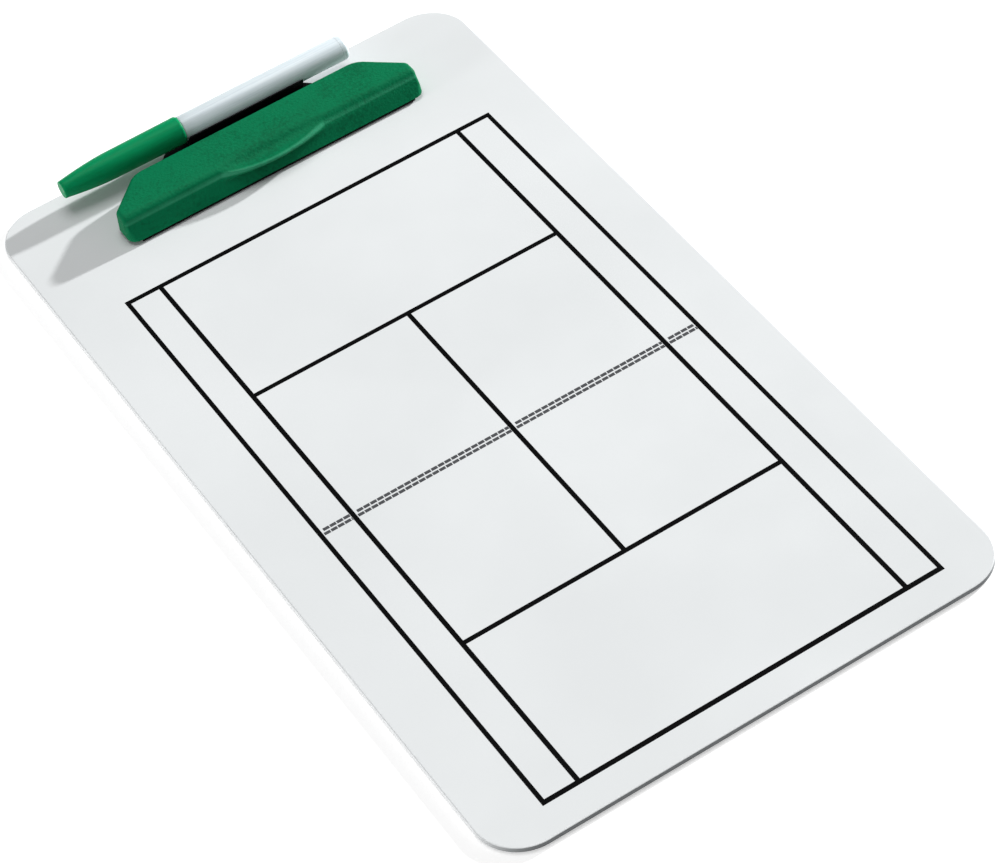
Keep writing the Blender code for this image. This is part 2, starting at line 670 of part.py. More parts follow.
def build_grip(material, pin_place):
    """Rubber strip bonded under the jaw's front foot."""
    bm = bmesh.new()
    half = JAW_HALF_LENGTH - GRIP_END_SETBACK
    low_y = PIN_Y - JAW_FRONT + SEAT_GAP
    low_z = BOARD_TOP + SEAT_GAP
    add_box(bm, (CLIP_X - half, low_y, low_z), (CLIP_X + half, low_y + GRIP_WIDTH, low_z + GRIP_THICK))
    lower = [edge for edge in bm.edges if all(v.co.z < low_z + GRIP_THICK / 2 for v in edge.verts)]
    bmesh.ops.bevel(bm, geom=lower, offset=GRIP_THICK / 4, segments=2, profile=0.5,
                    affect="EDGES", material=-1)
    return finish_object("jaw_grip", bm, material, math.radians(35), origin=pin_place)


def build_pin(material):
    """Steel hinge pin with domed ends, through the knuckles and the ears."""
    bm = bmesh.new()
    half = EAR_OUTER + EAR_THICK + 2 * RUN_GAP
    dome = PIN_RADIUS / 3
    end = [(half - dome + dome * math.sin(a), PIN_RADIUS * (0.75 + 0.25 * math.cos(a)))
           for a in (0.0, math.pi / 4, math.pi / 2)]
    profile = [(-half, 0.0)] + [(-along, radius) for along, radius in reversed(end)]
    profile += end + [(half, 0.0)]
    add_turned(bm, profile, (CLIP_X, PIN_Y, PIN_Z), (1, 0, 0), SMALL_SIDES)
    finish_object("hinge_pin", bm, material, math.radians(30))


def spring_path(sign):
    """Centre line of a torsion spring: a leg on the base, the coil, and a leg over the keeper."""
    inner_x = CLIP_X + sign * SPRING_PLACE
    outer_x = inner_x + sign * SPRING_PITCH * SPRING_TURNS
    rest_z = BASE_TOP_Z + SEAT_GAP + SPRING_WIRE / 2
    points = [(outer_x, PIN_Y + SPRING_REAR_LEG, rest_z)]
    points.append((outer_x, PIN_Y + SPRING_REAR_LEG / 2, (rest_z + PIN_Z - COIL_RADIUS) / 2))
    sweep = 2 * math.pi * SPRING_TURNS + SPRING_LEG_RISE
    steps = SPRING_TURNS * 10
    for step in range(steps + 1):
        angle = -math.pi / 2 - sweep * step / steps
        x = outer_x + (inner_x - outer_x) * step / steps
        points.append((x, PIN_Y + COIL_RADIUS * math.cos(angle), PIN_Z + COIL_RADIUS * math.sin(angle)))
    for share in (0.5, 1.0):
        reach = SPRING_FRONT_LEG * share
        points.append((inner_x, PIN_Y - reach, BOARD_TOP + spring_leg_height(reach)))
    return points


def least_turn_gap(points):
    """Smallest gap of the wire to itself between turns, measured on the centre line."""
    least = math.inf
    for i, first in enumerate(points):
        for second in points[i + 6:]:
            least = min(least, (Vector(first) - Vector(second)).length - SPRING_WIRE)
    return least


def build_spring(name, sign, material):
    """Torsion spring of round wire on the hinge pin."""
    points = spring_path(sign)
    print(name, "least gap between turns, mm:", round(1000 * least_turn_gap(points), 3))
    curve = bpy.data.curves.new(name, "CURVE")
    curve.dimensions = "3D"
    spline = curve.splines.new("POLY")
    spline.points.add(len(points) - 1)
    for point, place in zip(spline.points, points):
        point.co = (*place, 1.0)
    curve.bevel_depth = SPRING_WIRE / 2
    curve.bevel_resolution = 1
    curve.use_fill_caps = True
    curve.materials.append(material)
    spring = bpy.data.objects.new(name, curve)
    bpy.context.scene.collection.objects.link(spring)


def build_rivet(name, spot, material):
    """Rivet: a domed head on the base plate, a shank and a flat tail sunk in the board's back."""
    bm = bmesh.new()
    head_z = BASE_TOP_Z + SEAT_GAP
    tail_low = BACK_RECESS
    tail_high = tail_low + RIVET_TAIL_THICK
    profile = [(tail_low, 0.0), (tail_low, RIVET_TAIL_RADIUS), (tail_high, RIVET_TAIL_RADIUS),
               (tail_high, RIVET_SHANK_RADIUS), (head_z, RIVET_SHANK_RADIUS)]
    for step in range(5):
        angle = math.pi / 2 * step / 4
        profile.append((head_z + RIVET_HEAD_HEIGHT * (0.3 + 0.7 * math.sin(angle)),
                        RIVET_HEAD_RADIUS * math.cos(angle)))
    profile.insert(5, (head_z, RIVET_HEAD_RADIUS))
    profile[-1] = (profile[-1][0], 0.0)
    add_turned(bm, profile, (*spot, 0.0), (0, 0, 1), SMALL_SIDES)
    finish_object(name, bm, material, math.radians(40))


def build_washer(name, spot, material):
    """Steel washer between the rivet's tail and the floor of the counterbore."""
    bm = bmesh.new()
    low = BACK_RECESS + RIVET_TAIL_THICK + SEAT_GAP
    high = low + WASHER_THICK
    bore = RIVET_SHANK_RADIUS + RIVET_HOLE_GAP
    profile = [(low, bore), (low, WASHER_RADIUS), (high, WASHER_RADIUS), (high, bore)]
    add_turned(bm, profile, (*spot, 0.0), (0, 0, 1), SMALL_SIDES)
    finish_object(name, bm, material, math.radians(40))


def cap_radius(along):
    """Outside of the cap: straight from its mouth, then curving in towards its flat tip."""
    if along <= CAP_STRAIGHT:
        return CAP_MOUTH_RADIUS - CAP_TAPER * along / CAP_STRAIGHT
    share = (along - CAP_STRAIGHT) / (CAP_LENGTH - CAP_STRAIGHT)
    start = CAP_MOUTH_RADIUS - CAP_TAPER
    return start - (start - CAP_TIP_RADIUS) * share ** 1.7


def cap_bore(along):
    """Bore of the cap: straight over the barrel's neck, then tapering with the outside."""
    straight = BARREL_NECK_LENGTH + CAP_NECK_OVERRUN
    start = CAP_MOUTH_RADIUS - CAP_WALL
    share = max(along - straight, 0.0) / (CAP_STRAIGHT - straight)
    return start + (cap_radius(CAP_STRAIGHT) - CAP_TAPER_WALL - start) * share


def marker_object(name, profile, material, sides=ROUND_SIDES):
    """A turned piece of the marker; its profile holds (X, radius)."""
    bm = bmesh.new()
    add_turned(bm, profile, (0.0, MARKER_Y, MARKER_Z), (1, 0, 0), sides)
    return finish_object(name, bm, material, math.radians(32), origin=(CAP_MOUTH_X, MARKER_Y, MARKER_Z))


def build_cap(material):
    """Hollow cap: a tapered outside, a straight bore and a thick tip."""
    lengths = [0.0, CAP_STRAIGHT / 2, CAP_STRAIGHT]
    lengths += [CAP_STRAIGHT + (CAP_LENGTH - CAP_STRAIGHT) * step / 6 for step in range(1, 6)]
    outer = [(CAP_MOUTH_X - along, cap_radius(along)) for along in lengths]
    tip = [(MARKER_TIP_X, CAP_TIP_RADIUS - CAP_WALL / 2),
           (MARKER_TIP_X + CAP_WALL / 2, CAP_TIP_RADIUS + CAP_WALL / 4)]
    hollow_end = MARKER_TIP_X + CAP_TIP_WALL
    middle = (CAP_STRAIGHT + CAP_LENGTH) / 2
    inner = [(CAP_MOUTH_X, cap_bore(0.0)),
             (CAP_MOUTH_X - BARREL_NECK_LENGTH - CAP_NECK_OVERRUN, cap_bore(0.0)),
             (CAP_MOUTH_X - CAP_STRAIGHT, cap_bore(CAP_STRAIGHT)),
             (CAP_MOUTH_X - middle, cap_radius(middle) - CAP_TAPER_WALL),
             (hollow_end, CAP_TIP_RADIUS - CAP_TAPER_WALL), (hollow_end, 0.0)]
    profile = [(MARKER_TIP_X, 0.0)] + tip + list(reversed(outer)) + inner
    return marker_object("marker_cap", profile, material)


def build_liner(material):
    """Soft seal inside the cap that closes round the nib."""
    bore = SECTION_FRONT_RADIUS + RUN_GAP
    mouth_x = section_front_x() + SECTION_FRONT_LENGTH - RUN_GAP
    closed_x = mouth_x - LINER_LENGTH
    profile = [(closed_x, 0.0), (closed_x, cap_bore(CAP_MOUTH_X - closed_x) - SEAT_GAP),
               (mouth_x, cap_bore(CAP_MOUTH_X - mouth_x) - SEAT_GAP), (mouth_x, bore),
               (closed_x + LINER_WALL, bore), (closed_x + LINER_WALL, 0.0)]
    return marker_object("marker_cap_liner", profile, material, SMALL_SIDES)


def neck_front_x():
    return BARREL_START_X - BARREL_NECK_LENGTH


def section_front_x():
    return neck_front_x() - SEAT_GAP - SECTION_LENGTH


def build_barrel(material):
    """Straight tube, open at both ends, with a reduced neck for the cap."""
    bore = BARREL_RADIUS - BARREL_WALL
    rear_x = MARKER_END_X - PLUG_VISIBLE - SEAT_GAP
    profile = [(neck_front_x(), bore), (neck_front_x(), BARREL_NECK_RADIUS),
               (BARREL_START_X, BARREL_NECK_RADIUS), (BARREL_START_X, BARREL_RADIUS),
               (rear_x, BARREL_RADIUS), (rear_x, bore)]
    return marker_object("marker_barrel", profile, material)


def build_end_plug(material):
    """Plug that closes the barrel, with a rounded visible end."""
    rear_x = MARKER_END_X - PLUG_VISIBLE
    spigot = BARREL_RADIUS - BARREL_WALL - RUN_GAP
    profile = [(rear_x - PLUG_DEPTH, 0.0), (rear_x - PLUG_DEPTH, spigot), (rear_x, spigot),
               (rear_x, BARREL_RADIUS)]
    centre = (MARKER_END_X - END_ROUND, BARREL_RADIUS - END_ROUND)
    profile += arc(centre, END_ROUND, math.pi / 2, 0.0, 4)
    profile.append((MARKER_END_X, 0.0))
    return marker_object("marker_end_plug", profile, material)


def build_section(material):
    """Front section: a plug in the neck, a shoulder and a cone that holds the nib."""
    rear_x = neck_front_x() - SEAT_GAP
    front_x = section_front_x()
    spigot = BARREL_RADIUS - BARREL_WALL - RUN_GAP
    bore = NIB_RADIUS + RUN_GAP
    shoulder_x = rear_x - SECTION_LENGTH * 0.3
    profile = [(rear_x + SECTION_PLUG_LENGTH, bore), (rear_x + SECTION_PLUG_LENGTH, spigot),
               (rear_x, spigot), (rear_x, BARREL_NECK_RADIUS - RUN_GAP),
               (shoulder_x, BARREL_NECK_RADIUS - RUN_GAP),
               (front_x + SECTION_FRONT_LENGTH, SECTION_FRONT_RADIUS),
               (front_x, SECTION_FRONT_RADIUS), (front_x, bore)]
    return marker_object("marker_section", profile, material, SMALL_SIDES)


def build_nib(material):
    """Bullet nib of pressed felt, with its tail in the reservoir."""
    front_x = section_front_x()
    tip_x = front_x - NIB_REACH
    rear_x = front_x + SECTION_LENGTH + SECTION_PLUG_LENGTH + NIB_TAIL - SECTION_PLUG_LENGTH / 2
    profile = [(tip_x, 0.0)]
    for step in range(1, 5):
        angle = math.pi / 2 * step / 4
        profile.append((tip_x + 2 * NIB_RADIUS * (1 - math.cos(angle)), NIB_RADIUS * math.sin(angle)))
    profile += [(rear_x, NIB_RADIUS), (rear_x, 0.0)]
    return marker_object("marker_nib", profile, material, SMALL_SIDES)


def build_reservoir(material):
    """Ink reservoir: a fibre rod along the barrel with a blind bore for the nib's tail."""
    front_x = neck_front_x() - SEAT_GAP + SECTION_PLUG_LENGTH + SEAT_GAP
    rear_x = MARKER_END_X - PLUG_VISIBLE - PLUG_DEPTH - SEAT_GAP
    bore = NIB_RADIUS + RUN_GAP
    nib_rear = section_front_x() + SECTION_LENGTH + SECTION_PLUG_LENGTH / 2 + NIB_TAIL
    blind = nib_rear + SEAT_GAP
    profile = [(blind, 0.0), (blind, bore), (front_x, bore), (front_x, RESERVOIR_RADIUS),
               (rear_x, RESERVOIR_RADIUS), (rear_x, 0.0)]
    return marker_object("marker_reservoir", profile, material, SMALL_SIDES)


def main():
    clear_scene()
    white_panel = make_material("White rigid board", (0.84, 0.86, 0.87), 0.28)
    black_moulding = make_material("Black moulded base", (0.012, 0.013, 0.014), 0.5)
    green_moulding = make_material("Green grained moulding", (0.003, 0.180, 0.085), 0.55)
    black_rubber = make_material("Black rubber", (0.01, 0.01, 0.01), 0.8)
    steel_wire = make_material("Spring steel", (0.55, 0.55, 0.55), 0.3, 1.0)
    plated_steel = make_material("Plated steel", (0.62, 0.62, 0.60), 0.35, 1.0)
    white_tube = make_material("White marker tube", (0.66, 0.71, 0.74), 0.3)
    green_cap = make_material("Green marker cap", (0.003, 0.260, 0.100), 0.4)
    clear_liner = make_material("Soft cap liner", (0.80, 0.82, 0.80), 0.5)
    grey_section = make_material("Marker front section", (0.55, 0.58, 0.60), 0.45)
    felt = make_material("Green inked felt", (0.01, 0.16, 0.07), 0.9)
    fibre = make_material("Ink fibre", (0.30, 0.42, 0.34), 0.95)

    pin_place = (CLIP_X, PIN_Y, PIN_Z)
    build_board(white_panel)
    build_base(black_moulding)
    build_jaw(green_moulding, pin_place)
    build_grip(black_rubber, pin_place)
    build_pin(plated_steel)
    build_spring("spring_left", -1, steel_wire)
    build_spring("spring_right", 1, steel_wire)
    for side, spot in zip(("left", "right"), rivet_spots()):
        build_rivet("rivet_" + side, spot, plated_steel)
        build_washer("rivet_washer_" + side, spot, plated_steel)
    build_barrel(white_tube)
    build_end_plug(white_tube)
    build_section(grey_section)
    build_nib(felt)
    build_reservoir(fibre)
    build_cap(green_cap)
    build_liner(clear_liner)


main()
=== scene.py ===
"""Looks of the coach's tactics board: finer pieces, print, materials, studio and camera.

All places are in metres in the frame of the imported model: the board lies on its back, its
writing face up, +Y towards the clip and +X to the reader's right.
"""

import math

import bmesh
import bpy
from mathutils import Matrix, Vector


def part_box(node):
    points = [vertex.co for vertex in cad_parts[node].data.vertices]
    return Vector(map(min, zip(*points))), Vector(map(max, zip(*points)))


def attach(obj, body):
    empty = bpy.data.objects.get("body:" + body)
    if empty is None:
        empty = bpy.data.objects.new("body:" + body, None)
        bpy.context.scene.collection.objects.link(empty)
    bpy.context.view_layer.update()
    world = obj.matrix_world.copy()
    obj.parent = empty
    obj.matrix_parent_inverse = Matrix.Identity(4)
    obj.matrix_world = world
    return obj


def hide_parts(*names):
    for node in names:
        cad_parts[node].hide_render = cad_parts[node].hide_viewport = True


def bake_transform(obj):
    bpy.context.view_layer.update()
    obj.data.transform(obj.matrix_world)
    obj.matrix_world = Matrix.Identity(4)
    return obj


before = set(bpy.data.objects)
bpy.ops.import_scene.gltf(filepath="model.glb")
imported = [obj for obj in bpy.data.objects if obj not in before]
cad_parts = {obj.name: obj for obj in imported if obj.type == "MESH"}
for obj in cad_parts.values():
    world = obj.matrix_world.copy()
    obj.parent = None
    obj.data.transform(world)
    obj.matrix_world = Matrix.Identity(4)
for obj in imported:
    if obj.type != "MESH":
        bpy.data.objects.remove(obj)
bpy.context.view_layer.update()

MM = 0.001
UP = Vector((0.0, 0.0, 1.0))


# Places taken from the model

BOARD_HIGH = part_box("board_panel")[1]
BOARD_TOP = BOARD_HIGH.z
JAW_LOW, JAW_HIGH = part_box("clip_jaw")
PIN_LOW, PIN_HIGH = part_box("hinge_pin")
BARREL_LOW, BARREL_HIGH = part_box("marker_barrel")
CAP_LOW, CAP_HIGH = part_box("marker_cap")
PLUG_LOW, PLUG_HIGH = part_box("marker_end_plug")
BASE_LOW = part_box("clip_base")[0]

CLIP_X = (JAW_LOW.x + JAW_HIGH.x) / 2
PIN_Y = (PIN_LOW.y + PIN_HIGH.y) / 2
PIN_Z = (PIN_LOW.z + PIN_HIGH.z) / 2
MARKER_Y = (BARREL_LOW.y + BARREL_HIGH.y) / 2
MARKER_Z = (BARREL_LOW.z + BARREL_HIGH.z) / 2
BARREL_RADIUS = (BARREL_HIGH.z - BARREL_LOW.z) / 2
CAP_RADIUS = (CAP_HIGH.z - CAP_LOW.z) / 2


# Sizes of the green moulding, above the board where they are heights
HALF_LENGTH = 73.0 * MM
FRONT = 22.0 * MM
REAR = 7.3 * MM
FOOT = JAW_LOW.z - BOARD_TOP
RIDGE = 12.3 * MM
TOP_FALL = math.radians(2.5)
LEAN = math.radians(30.0)
RIDGE_ROUND = 3.8 * MM
EDGE_ROUND = 2.0 * MM
END_DRAFT = 0.4 * MM
WALL = 2.0 * MM
FOOT_ROUND = 0.3 * MM
CORNER_ROUNDS = (4.4 * MM, 1.6 * MM)
CHAMFER = 17.3 * MM
CHAMFER_ROUND = 2.0 * MM
SHOULDER_ROUND = 10.0 * MM
HOLLOW_ROUND = 0.5 * MM
REAR_LIFT = 2.6 * MM
LIP_CHORD = 26.0 * MM
LIP_REACH = 5.1 * MM
LIP_RADIUS = (LIP_CHORD ** 2 + LIP_REACH ** 2) / (2 * LIP_REACH)
LIP_HEIGHT = 8.7 * MM
WINDOW_HALF = 29.45 * MM
WINDOW_HIGH = 7.6 * MM
RIB_SETBACKS = (14.8 * MM, 28.8 * MM)
RIB_FOOT = 6.5 * MM
RIB_THICK = 1.6 * MM
KNUCKLE_RADIUS = 3.4 * MM
KNUCKLE_NEAR = 29.5 * MM
KNUCKLE_THICK = 4.0 * MM


# Steps along the lip, up the front face, round the ridge and round each bend of the plan
LIP_STEPS = 56
FACE_STEPS = 7
ROLL_STEPS = 4
PLAN_STEPS = (10, 4, 10)


# Sizes of the springs, the plate below them and the bars that their upper legs press on
WIRE_THICK = 1.2 * MM
COIL_RADIUS = 2.5 * MM
COIL_PITCH = 1.7 * MM
COIL_TURNS = 5
COIL_START = 8.0 * MM
LEG_RISE = math.radians(25.0)
LEG_REACH = 10.5 * MM
LEG_GAP = 0.3 * MM
PLATE_THICK = 1.4 * MM
BAR_BACK = 9.0 * MM
BAR_RADIUS = 1.1 * MM


# Sizes of the marker
CAP_STRAIGHT = 34.0 * MM
CAP_TAPER = 0.2 * MM
CAP_TIP_RADIUS = 3.8 * MM
CAP_WALL = 1.4 * MM
BARREL_BORE = BARREL_RADIUS - 1.1 * MM
NECK_RADIUS = 5.1 * MM
SPIGOT_RADIUS = BARREL_BORE - 0.3 * MM
NIB_RADIUS = 1.7 * MM
SEAM_EASE = 0.08 * MM


def face_setback(height):
    """How far the leaning front face has gone back at a height above the board."""
    return (height - FOOT) * math.tan(LEAN)


# Colour and nodes

def linear(code):
    """Scene-linear colour of an sRGB hex code such as '#1f6f4a'."""
    parts = [int(code[i:i + 2], 16) / 255 for i in (1, 3, 5)]
    return tuple(p / 12.92 if p <= 0.04045 else ((p + 0.055) / 1.055) ** 2.4 for p in parts) + (1.0,)


def grain(*sizes):
    """Pattern scale for grains of a real size in millimetres: one size, or one for each axis."""
    scales = tuple(1 / (size * MM) for size in sizes)
    return scales if len(scales) > 1 else scales[0]


def new_material(name):
    """An empty material and its shader."""
    material = bpy.data.materials.new(name)
    material.use_nodes = True
    return material, material.node_tree.nodes["Principled BSDF"]


def add(material, kind, links=None, values=None, ramp=(), **settings):
    """Add a node with its settings, input values and links. links maps an input to
    (node, output); ramp holds the (place, sRGB code) stops of a colour ramp."""
    node = material.node_tree.nodes.new("ShaderNode" + kind)
    for name, value in settings.items():
        setattr(node, name, value)
    for name, value in (values or {}).items():
        node.inputs[name].default_value = value
    for name, (source, output) in (links or {}).items():
        material.node_tree.links.new(source.outputs[output], node.inputs[name])
    for index, (place, code) in enumerate(ramp):
        node.color_ramp.elements[index].position = place
        node.color_ramp.elements[index].color = linear(code)
    return node


def link(material, source, output, target, socket):
    """Link an output of one node to an input of another."""
    material.node_tree.links.new(source.outputs[output], target.inputs[socket])


def drive(material, shader, source, colours=(), gloss=(), relief=()):
    """Let a pattern drive a shader. source is (node, output), colours are the stops of a ramp,
    gloss is the roughness at 0.3 and at 0.7, and relief is a strength and a depth in mm."""
    if colours:
        ramp = add(material, "ValToRGB", {"Fac": source}, ramp=colours)
        link(material, ramp, "Color", shader, "Base Color")
    if gloss:
        rough = add(material, "MapRange", {"Value": source},
                    {"From Min": 0.3, "From Max": 0.7, "To Min": gloss[0], "To Max": gloss[1]})
        link(material, rough, "Result", shader, "Roughness")
    if relief:
        bump = add(material, "Bump", {"Height": source},
                   {"Strength": relief[0], "Distance": relief[1] * MM})
        link(material, bump, "Normal", shader, "Normal")


def let_light_in(shader, share, reach):
    """Give a thin milky plastic some light from within, so that it shades softly."""
    shader.inputs["Subsurface Weight"].default_value = share
    shader.inputs["Subsurface Radius"].default_value = (1.0, 1.0, 1.0)
    shader.inputs["Subsurface Scale"].default_value = reach


def white_board_material():
    """White rigid polystyrene sheet with a hard clear writing gloss: nearly white, faintly cool,
    with a very slight ripple from the rolls and a trace of wiped ink haze."""
    material, shader = new_material("White polystyrene sheet")
    place = add(material, "TexCoord")
    haze, wiped, ripple = [
        add(material, "TexNoise", {"Vector": (place, "Object")},
            {"Scale": grain(size), "Detail": detail, "Roughness": rough})
        for size, detail, rough in ((111.0, 3.0, 0.5), (16.7, 4.0, 0.6), (1.43, 2.0, 0.5))]
    drive(material, shader, (haze, "Fac"), colours=((0.35, "#dfe2e3"), (0.65, "#e5e8e9")))
    drive(material, shader, (wiped, "Fac"), gloss=(0.30, 0.40))
    drive(material, shader, (ripple, "Fac"), relief=(0.10, 0.05))
    return material


def sheet_edge_material():
    """Edge of the sheet: white along its long edges, with a painted grey shade towards both short
    ends and round the corners; satin, with fine marks along it."""
    material, shader = new_material("Polystyrene edge with painted end shade")
    place = add(material, "TexCoord")
    along = add(material, "Mapping", {"Vector": (place, "Object")},
                {"Scale": grain(3.33, 3.33, 0.25)})
    marks = add(material, "TexNoise", {"Vector": (along, "Vector")},
                {"Scale": 1.0, "Detail": 3.0, "Roughness": 0.6})
    # Painted shade: a mottled grey that the edge takes on towards both short ends and round the corners
    painted_shade_grey = add(material, "ValToRGB", {"Fac": (marks, "Fac")},
               ramp=((0.3, "#808385"), (0.7, "#929597")))
    across = add(material, "SeparateXYZ", {"Vector": (place, "Object")})
    distance = add(material, "Math", {0: (across, "Y")}, operation="ABSOLUTE")
    # Painted shade: grey from 22 mm before each short end, fully grey by 1.5 mm before it
    painted_shade_ends = add(material, "MapRange", {"Value": (distance, "Value")},
               {"From Min": BOARD_HIGH.y - 22.0 * MM, "From Max": BOARD_HIGH.y - 1.5 * MM})
    shown = add(material, "MixRGB", {"Fac": (painted_shade_ends, "Result"), "Color2": (painted_shade_grey, "Color")},
                {"Color1": linear("#f6f8f9")})
    link(material, shown, "Color", shader, "Base Color")
    drive(material, shader, (marks, "Fac"), relief=(0.12, 0.04))
    shader.inputs["Roughness"].default_value = 0.6
    shader.inputs["Specular IOR Level"].default_value = 0.2
    return material


def ink_material(name, dark, light):
    """Screen-printed ink: matt, a hair uneven where the mesh left it thin. The real mesh is too
    fine to show, so its grain is drawn 1.1 mm wide."""
    material, shader = new_material(name)
    place = add(material, "TexCoord")
    mesh = add(material, "TexNoise", {"Vector": (place, "Object")},
               {"Scale": grain(1.11), "Detail": 2.0, "Roughness": 0.6})
    drive(material, shader, (mesh, "Fac"), ((0.35, dark), (0.8, light)), relief=(0.2, 0.02))
    shader.inputs["Roughness"].default_value = 0.5
    shader.inputs["Specular IOR Level"].default_value = 0.04
    return material


def lip_rim_highlight_and_gloss(material, place, cloud):
    """Mask of a thin band on the thumb lip's arc, from just inside its edge to just above its nose
    and not behind it, broken up by the cloud; it carries a painted highlight and a lower roughness."""
    nose_y = PIN_Y - FRONT + face_setback(LIP_HEIGHT) - LIP_REACH
    middle = add(material, "Mapping", {"Vector": (place, "Object")},
                 {"Location": (-CLIP_X, -nose_y - LIP_RADIUS, 0.0), "Scale": (1.0, 1.0, 0.0)})
    away = add(material, "VectorMath", {"Vector": (middle, "Vector")}, operation="LENGTH")
    split = add(material, "SeparateXYZ", {"Vector": (place, "Object")})
    bands = (((away, "Value"), LIP_RADIUS - 1.9 * MM, LIP_RADIUS - 0.7 * MM),
             ((split, "Z"), BOARD_TOP + LIP_HEIGHT - 0.3 * MM, BOARD_TOP + LIP_HEIGHT + 0.4 * MM),
             ((split, "Y"), nose_y + LIP_REACH + 1.2 * MM, nose_y + LIP_REACH))
    highlight_and_gloss = (cloud, "Fac")
    for source, low, high in bands:
        band = add(material, "MapRange", {"Value": source}, {"From Min": low, "From Max": high})
        both = add(material, "Math", {0: highlight_and_gloss, 1: (band, "Result")}, operation="MULTIPLY")
        highlight_and_gloss = (both, "Value")
    return highlight_and_gloss


def green_grain_material():
    """Green ABS moulding with a spark-etched leather grain of rounded pebbles, a little glossier
    in their hollows, and a painted highlight along the thumb lip's rim, which is glossier too.
    The real pebbles are about 0.7 mm apart; they are drawn 1.2 mm apart so that they still show in the
    picture."""
    material, shader = new_material("Grained green ABS")
    place = add(material, "TexCoord")
    pebbles = add(material, "TexVoronoi", {"Vector": (place, "Object")},
                  {"Scale": grain(1.205), "Smoothness": 0.5, "Randomness": 1.0}, feature="SMOOTH_F1")
    fine, cloud, speckle = [
        add(material, "TexNoise", {"Vector": (place, "Object")},
            {"Scale": grain(size), "Detail": detail, "Roughness": 0.6})
        for size, detail in ((0.526, 3.0), (22.2, 4.0), (1.613, 3.0))]
    height = add(material, "Math", {0: (pebbles, "Distance"), 1: (fine, "Fac")}, operation="SUBTRACT")
    drive(material, shader, (height, "Value"), relief=(0.6, 0.18))
    mixed = add(material, "Math", {0: (cloud, "Fac"), 1: (speckle, "Fac")}, operation="ADD")
    ramp = add(material, "ValToRGB", {"Fac": (mixed, "Value")},
               ramp=((0.78, "#00643f"), (1.0, "#017249")))
    highlight_and_gloss = lip_rim_highlight_and_gloss(material, place, cloud)
    # Painted highlight: the lip's rim is painted a paler green; the same band also lowers the roughness
    painted_highlight = add(material, "MixRGB", {"Fac": highlight_and_gloss, "Color1": (ramp, "Color")},
                {"Color2": linear("#46a880")})
    link(material, painted_highlight, "Color", shader, "Base Color")
    even = add(material, "MapRange", {"Value": (fine, "Fac")},
               {"From Min": 0.3, "From Max": 0.7, "To Min": 0.46, "To Max": 0.60})
    gloss = add(material, "Math", {0: (even, "Result"), 1: highlight_and_gloss}, operation="SUBTRACT", use_clamp=True)
    link(material, gloss, "Value", shader, "Roughness")
    shader.inputs["Specular IOR Level"].default_value = 0.07
    return material


def green_cap_material():
    """Smooth green polypropylene cap, straight from a polished mould, with faint flow streaks
    along its length."""
    material, shader = new_material("Polished green polypropylene")
    place = add(material, "TexCoord")
    along = add(material, "Mapping", {"Vector": (place, "Object")},
                {"Scale": grain(16.7, 1.11, 1.11)})
    streaks = add(material, "TexNoise", {"Vector": (along, "Vector")},
                  {"Scale": 1.0, "Detail": 3.0, "Roughness": 0.5})
    drive(material, shader, (streaks, "Fac"), ((0.3, "#028653"), (0.7, "#03915b")), (0.34, 0.44))
    skin = add(material, "TexNoise", {"Vector": (place, "Object")},
               {"Scale": grain(0.667), "Detail": 2.0, "Roughness": 0.5})
    drive(material, shader, (skin, "Fac"), relief=(0.10, 0.04))
    let_light_in(shader, 0.35, 2.5 * MM)
    shader.inputs["Specular IOR Level"].default_value = 0.07
    return material


def white_tube_material():
    """Extruded white polypropylene barrel: cool white, half gloss, with drawn lines along it."""
    material, shader = new_material("Extruded white polypropylene")
    place = add(material, "TexCoord")
    along = add(material, "Mapping", {"Vector": (place, "Object")},
                {"Scale": grain(50.0, 0.714, 0.714)})
    drawn = add(material, "TexNoise", {"Vector": (along, "Vector")},
                {"Scale": 1.0, "Detail": 2.0, "Roughness": 0.5})
    drive(material, shader, (drawn, "Fac"), ((0.3, "#e1ecf2"), (0.7, "#eaf4f8")), (0.25, 0.36),
          (0.08, 0.04))
    let_light_in(shader, 0.4, 0.5 * MM)
    return material


def moulded_material(name, dark, light, rough, pit, shine=0.5):
    """Plain injection moulding with a fine spark-eroded surface; pit is one pit's width in mm."""
    material, shader = new_material(name)
    place = add(material, "TexCoord")
    spark = add(material, "TexNoise", {"Vector": (place, "Object")},
                {"Scale": grain(pit), "Detail": 4.0, "Roughness": 0.65})
    drive(material, shader, (spark, "Fac"), ((0.3, dark), (0.7, light)),
          (rough - 0.06, rough + 0.06), (0.25, 0.05))
    shader.inputs["Specular IOR Level"].default_value = shine
    return material


def steel_material(name, dark, light, rough, mark):
    """Bright metal: drawn wire or a zinc-plated turned part, with fine marks in its gloss; mark
    is their width in mm."""
    material, shader = new_material(name)
    place = add(material, "TexCoord")
    marks = add(material, "TexNoise", {"Vector": (place, "Object")},
                {"Scale": grain(mark), "Detail": 3.0, "Roughness": 0.6})
    drive(material, shader, (marks, "Fac"), ((0.3, dark), (0.7, light)),
          (rough - 0.06, rough + 0.08), (0.12, 0.03))
    shader.inputs["Metallic"].default_value = 1.0
    return material


def fibre_material(name, dark, light):
    """Pressed or bundled fibre: matt, with strands along the marker."""
    material, shader = new_material(name)
    place = add(material, "TexCoord")
    along = add(material, "Mapping", {"Vector": (place, "Object")},
                {"Scale": grain(3.33, 0.25, 0.25)})
    strands = add(material, "TexNoise", {"Vector": (along, "Vector")},
                  {"Scale": 1.0, "Detail": 4.0, "Roughness": 0.7})
    drive(material, shader, (strands, "Fac"), ((0.3, dark), (0.7, light)), relief=(0.5, 0.1))
    shader.inputs["Roughness"].default_value = 0.9
    return material


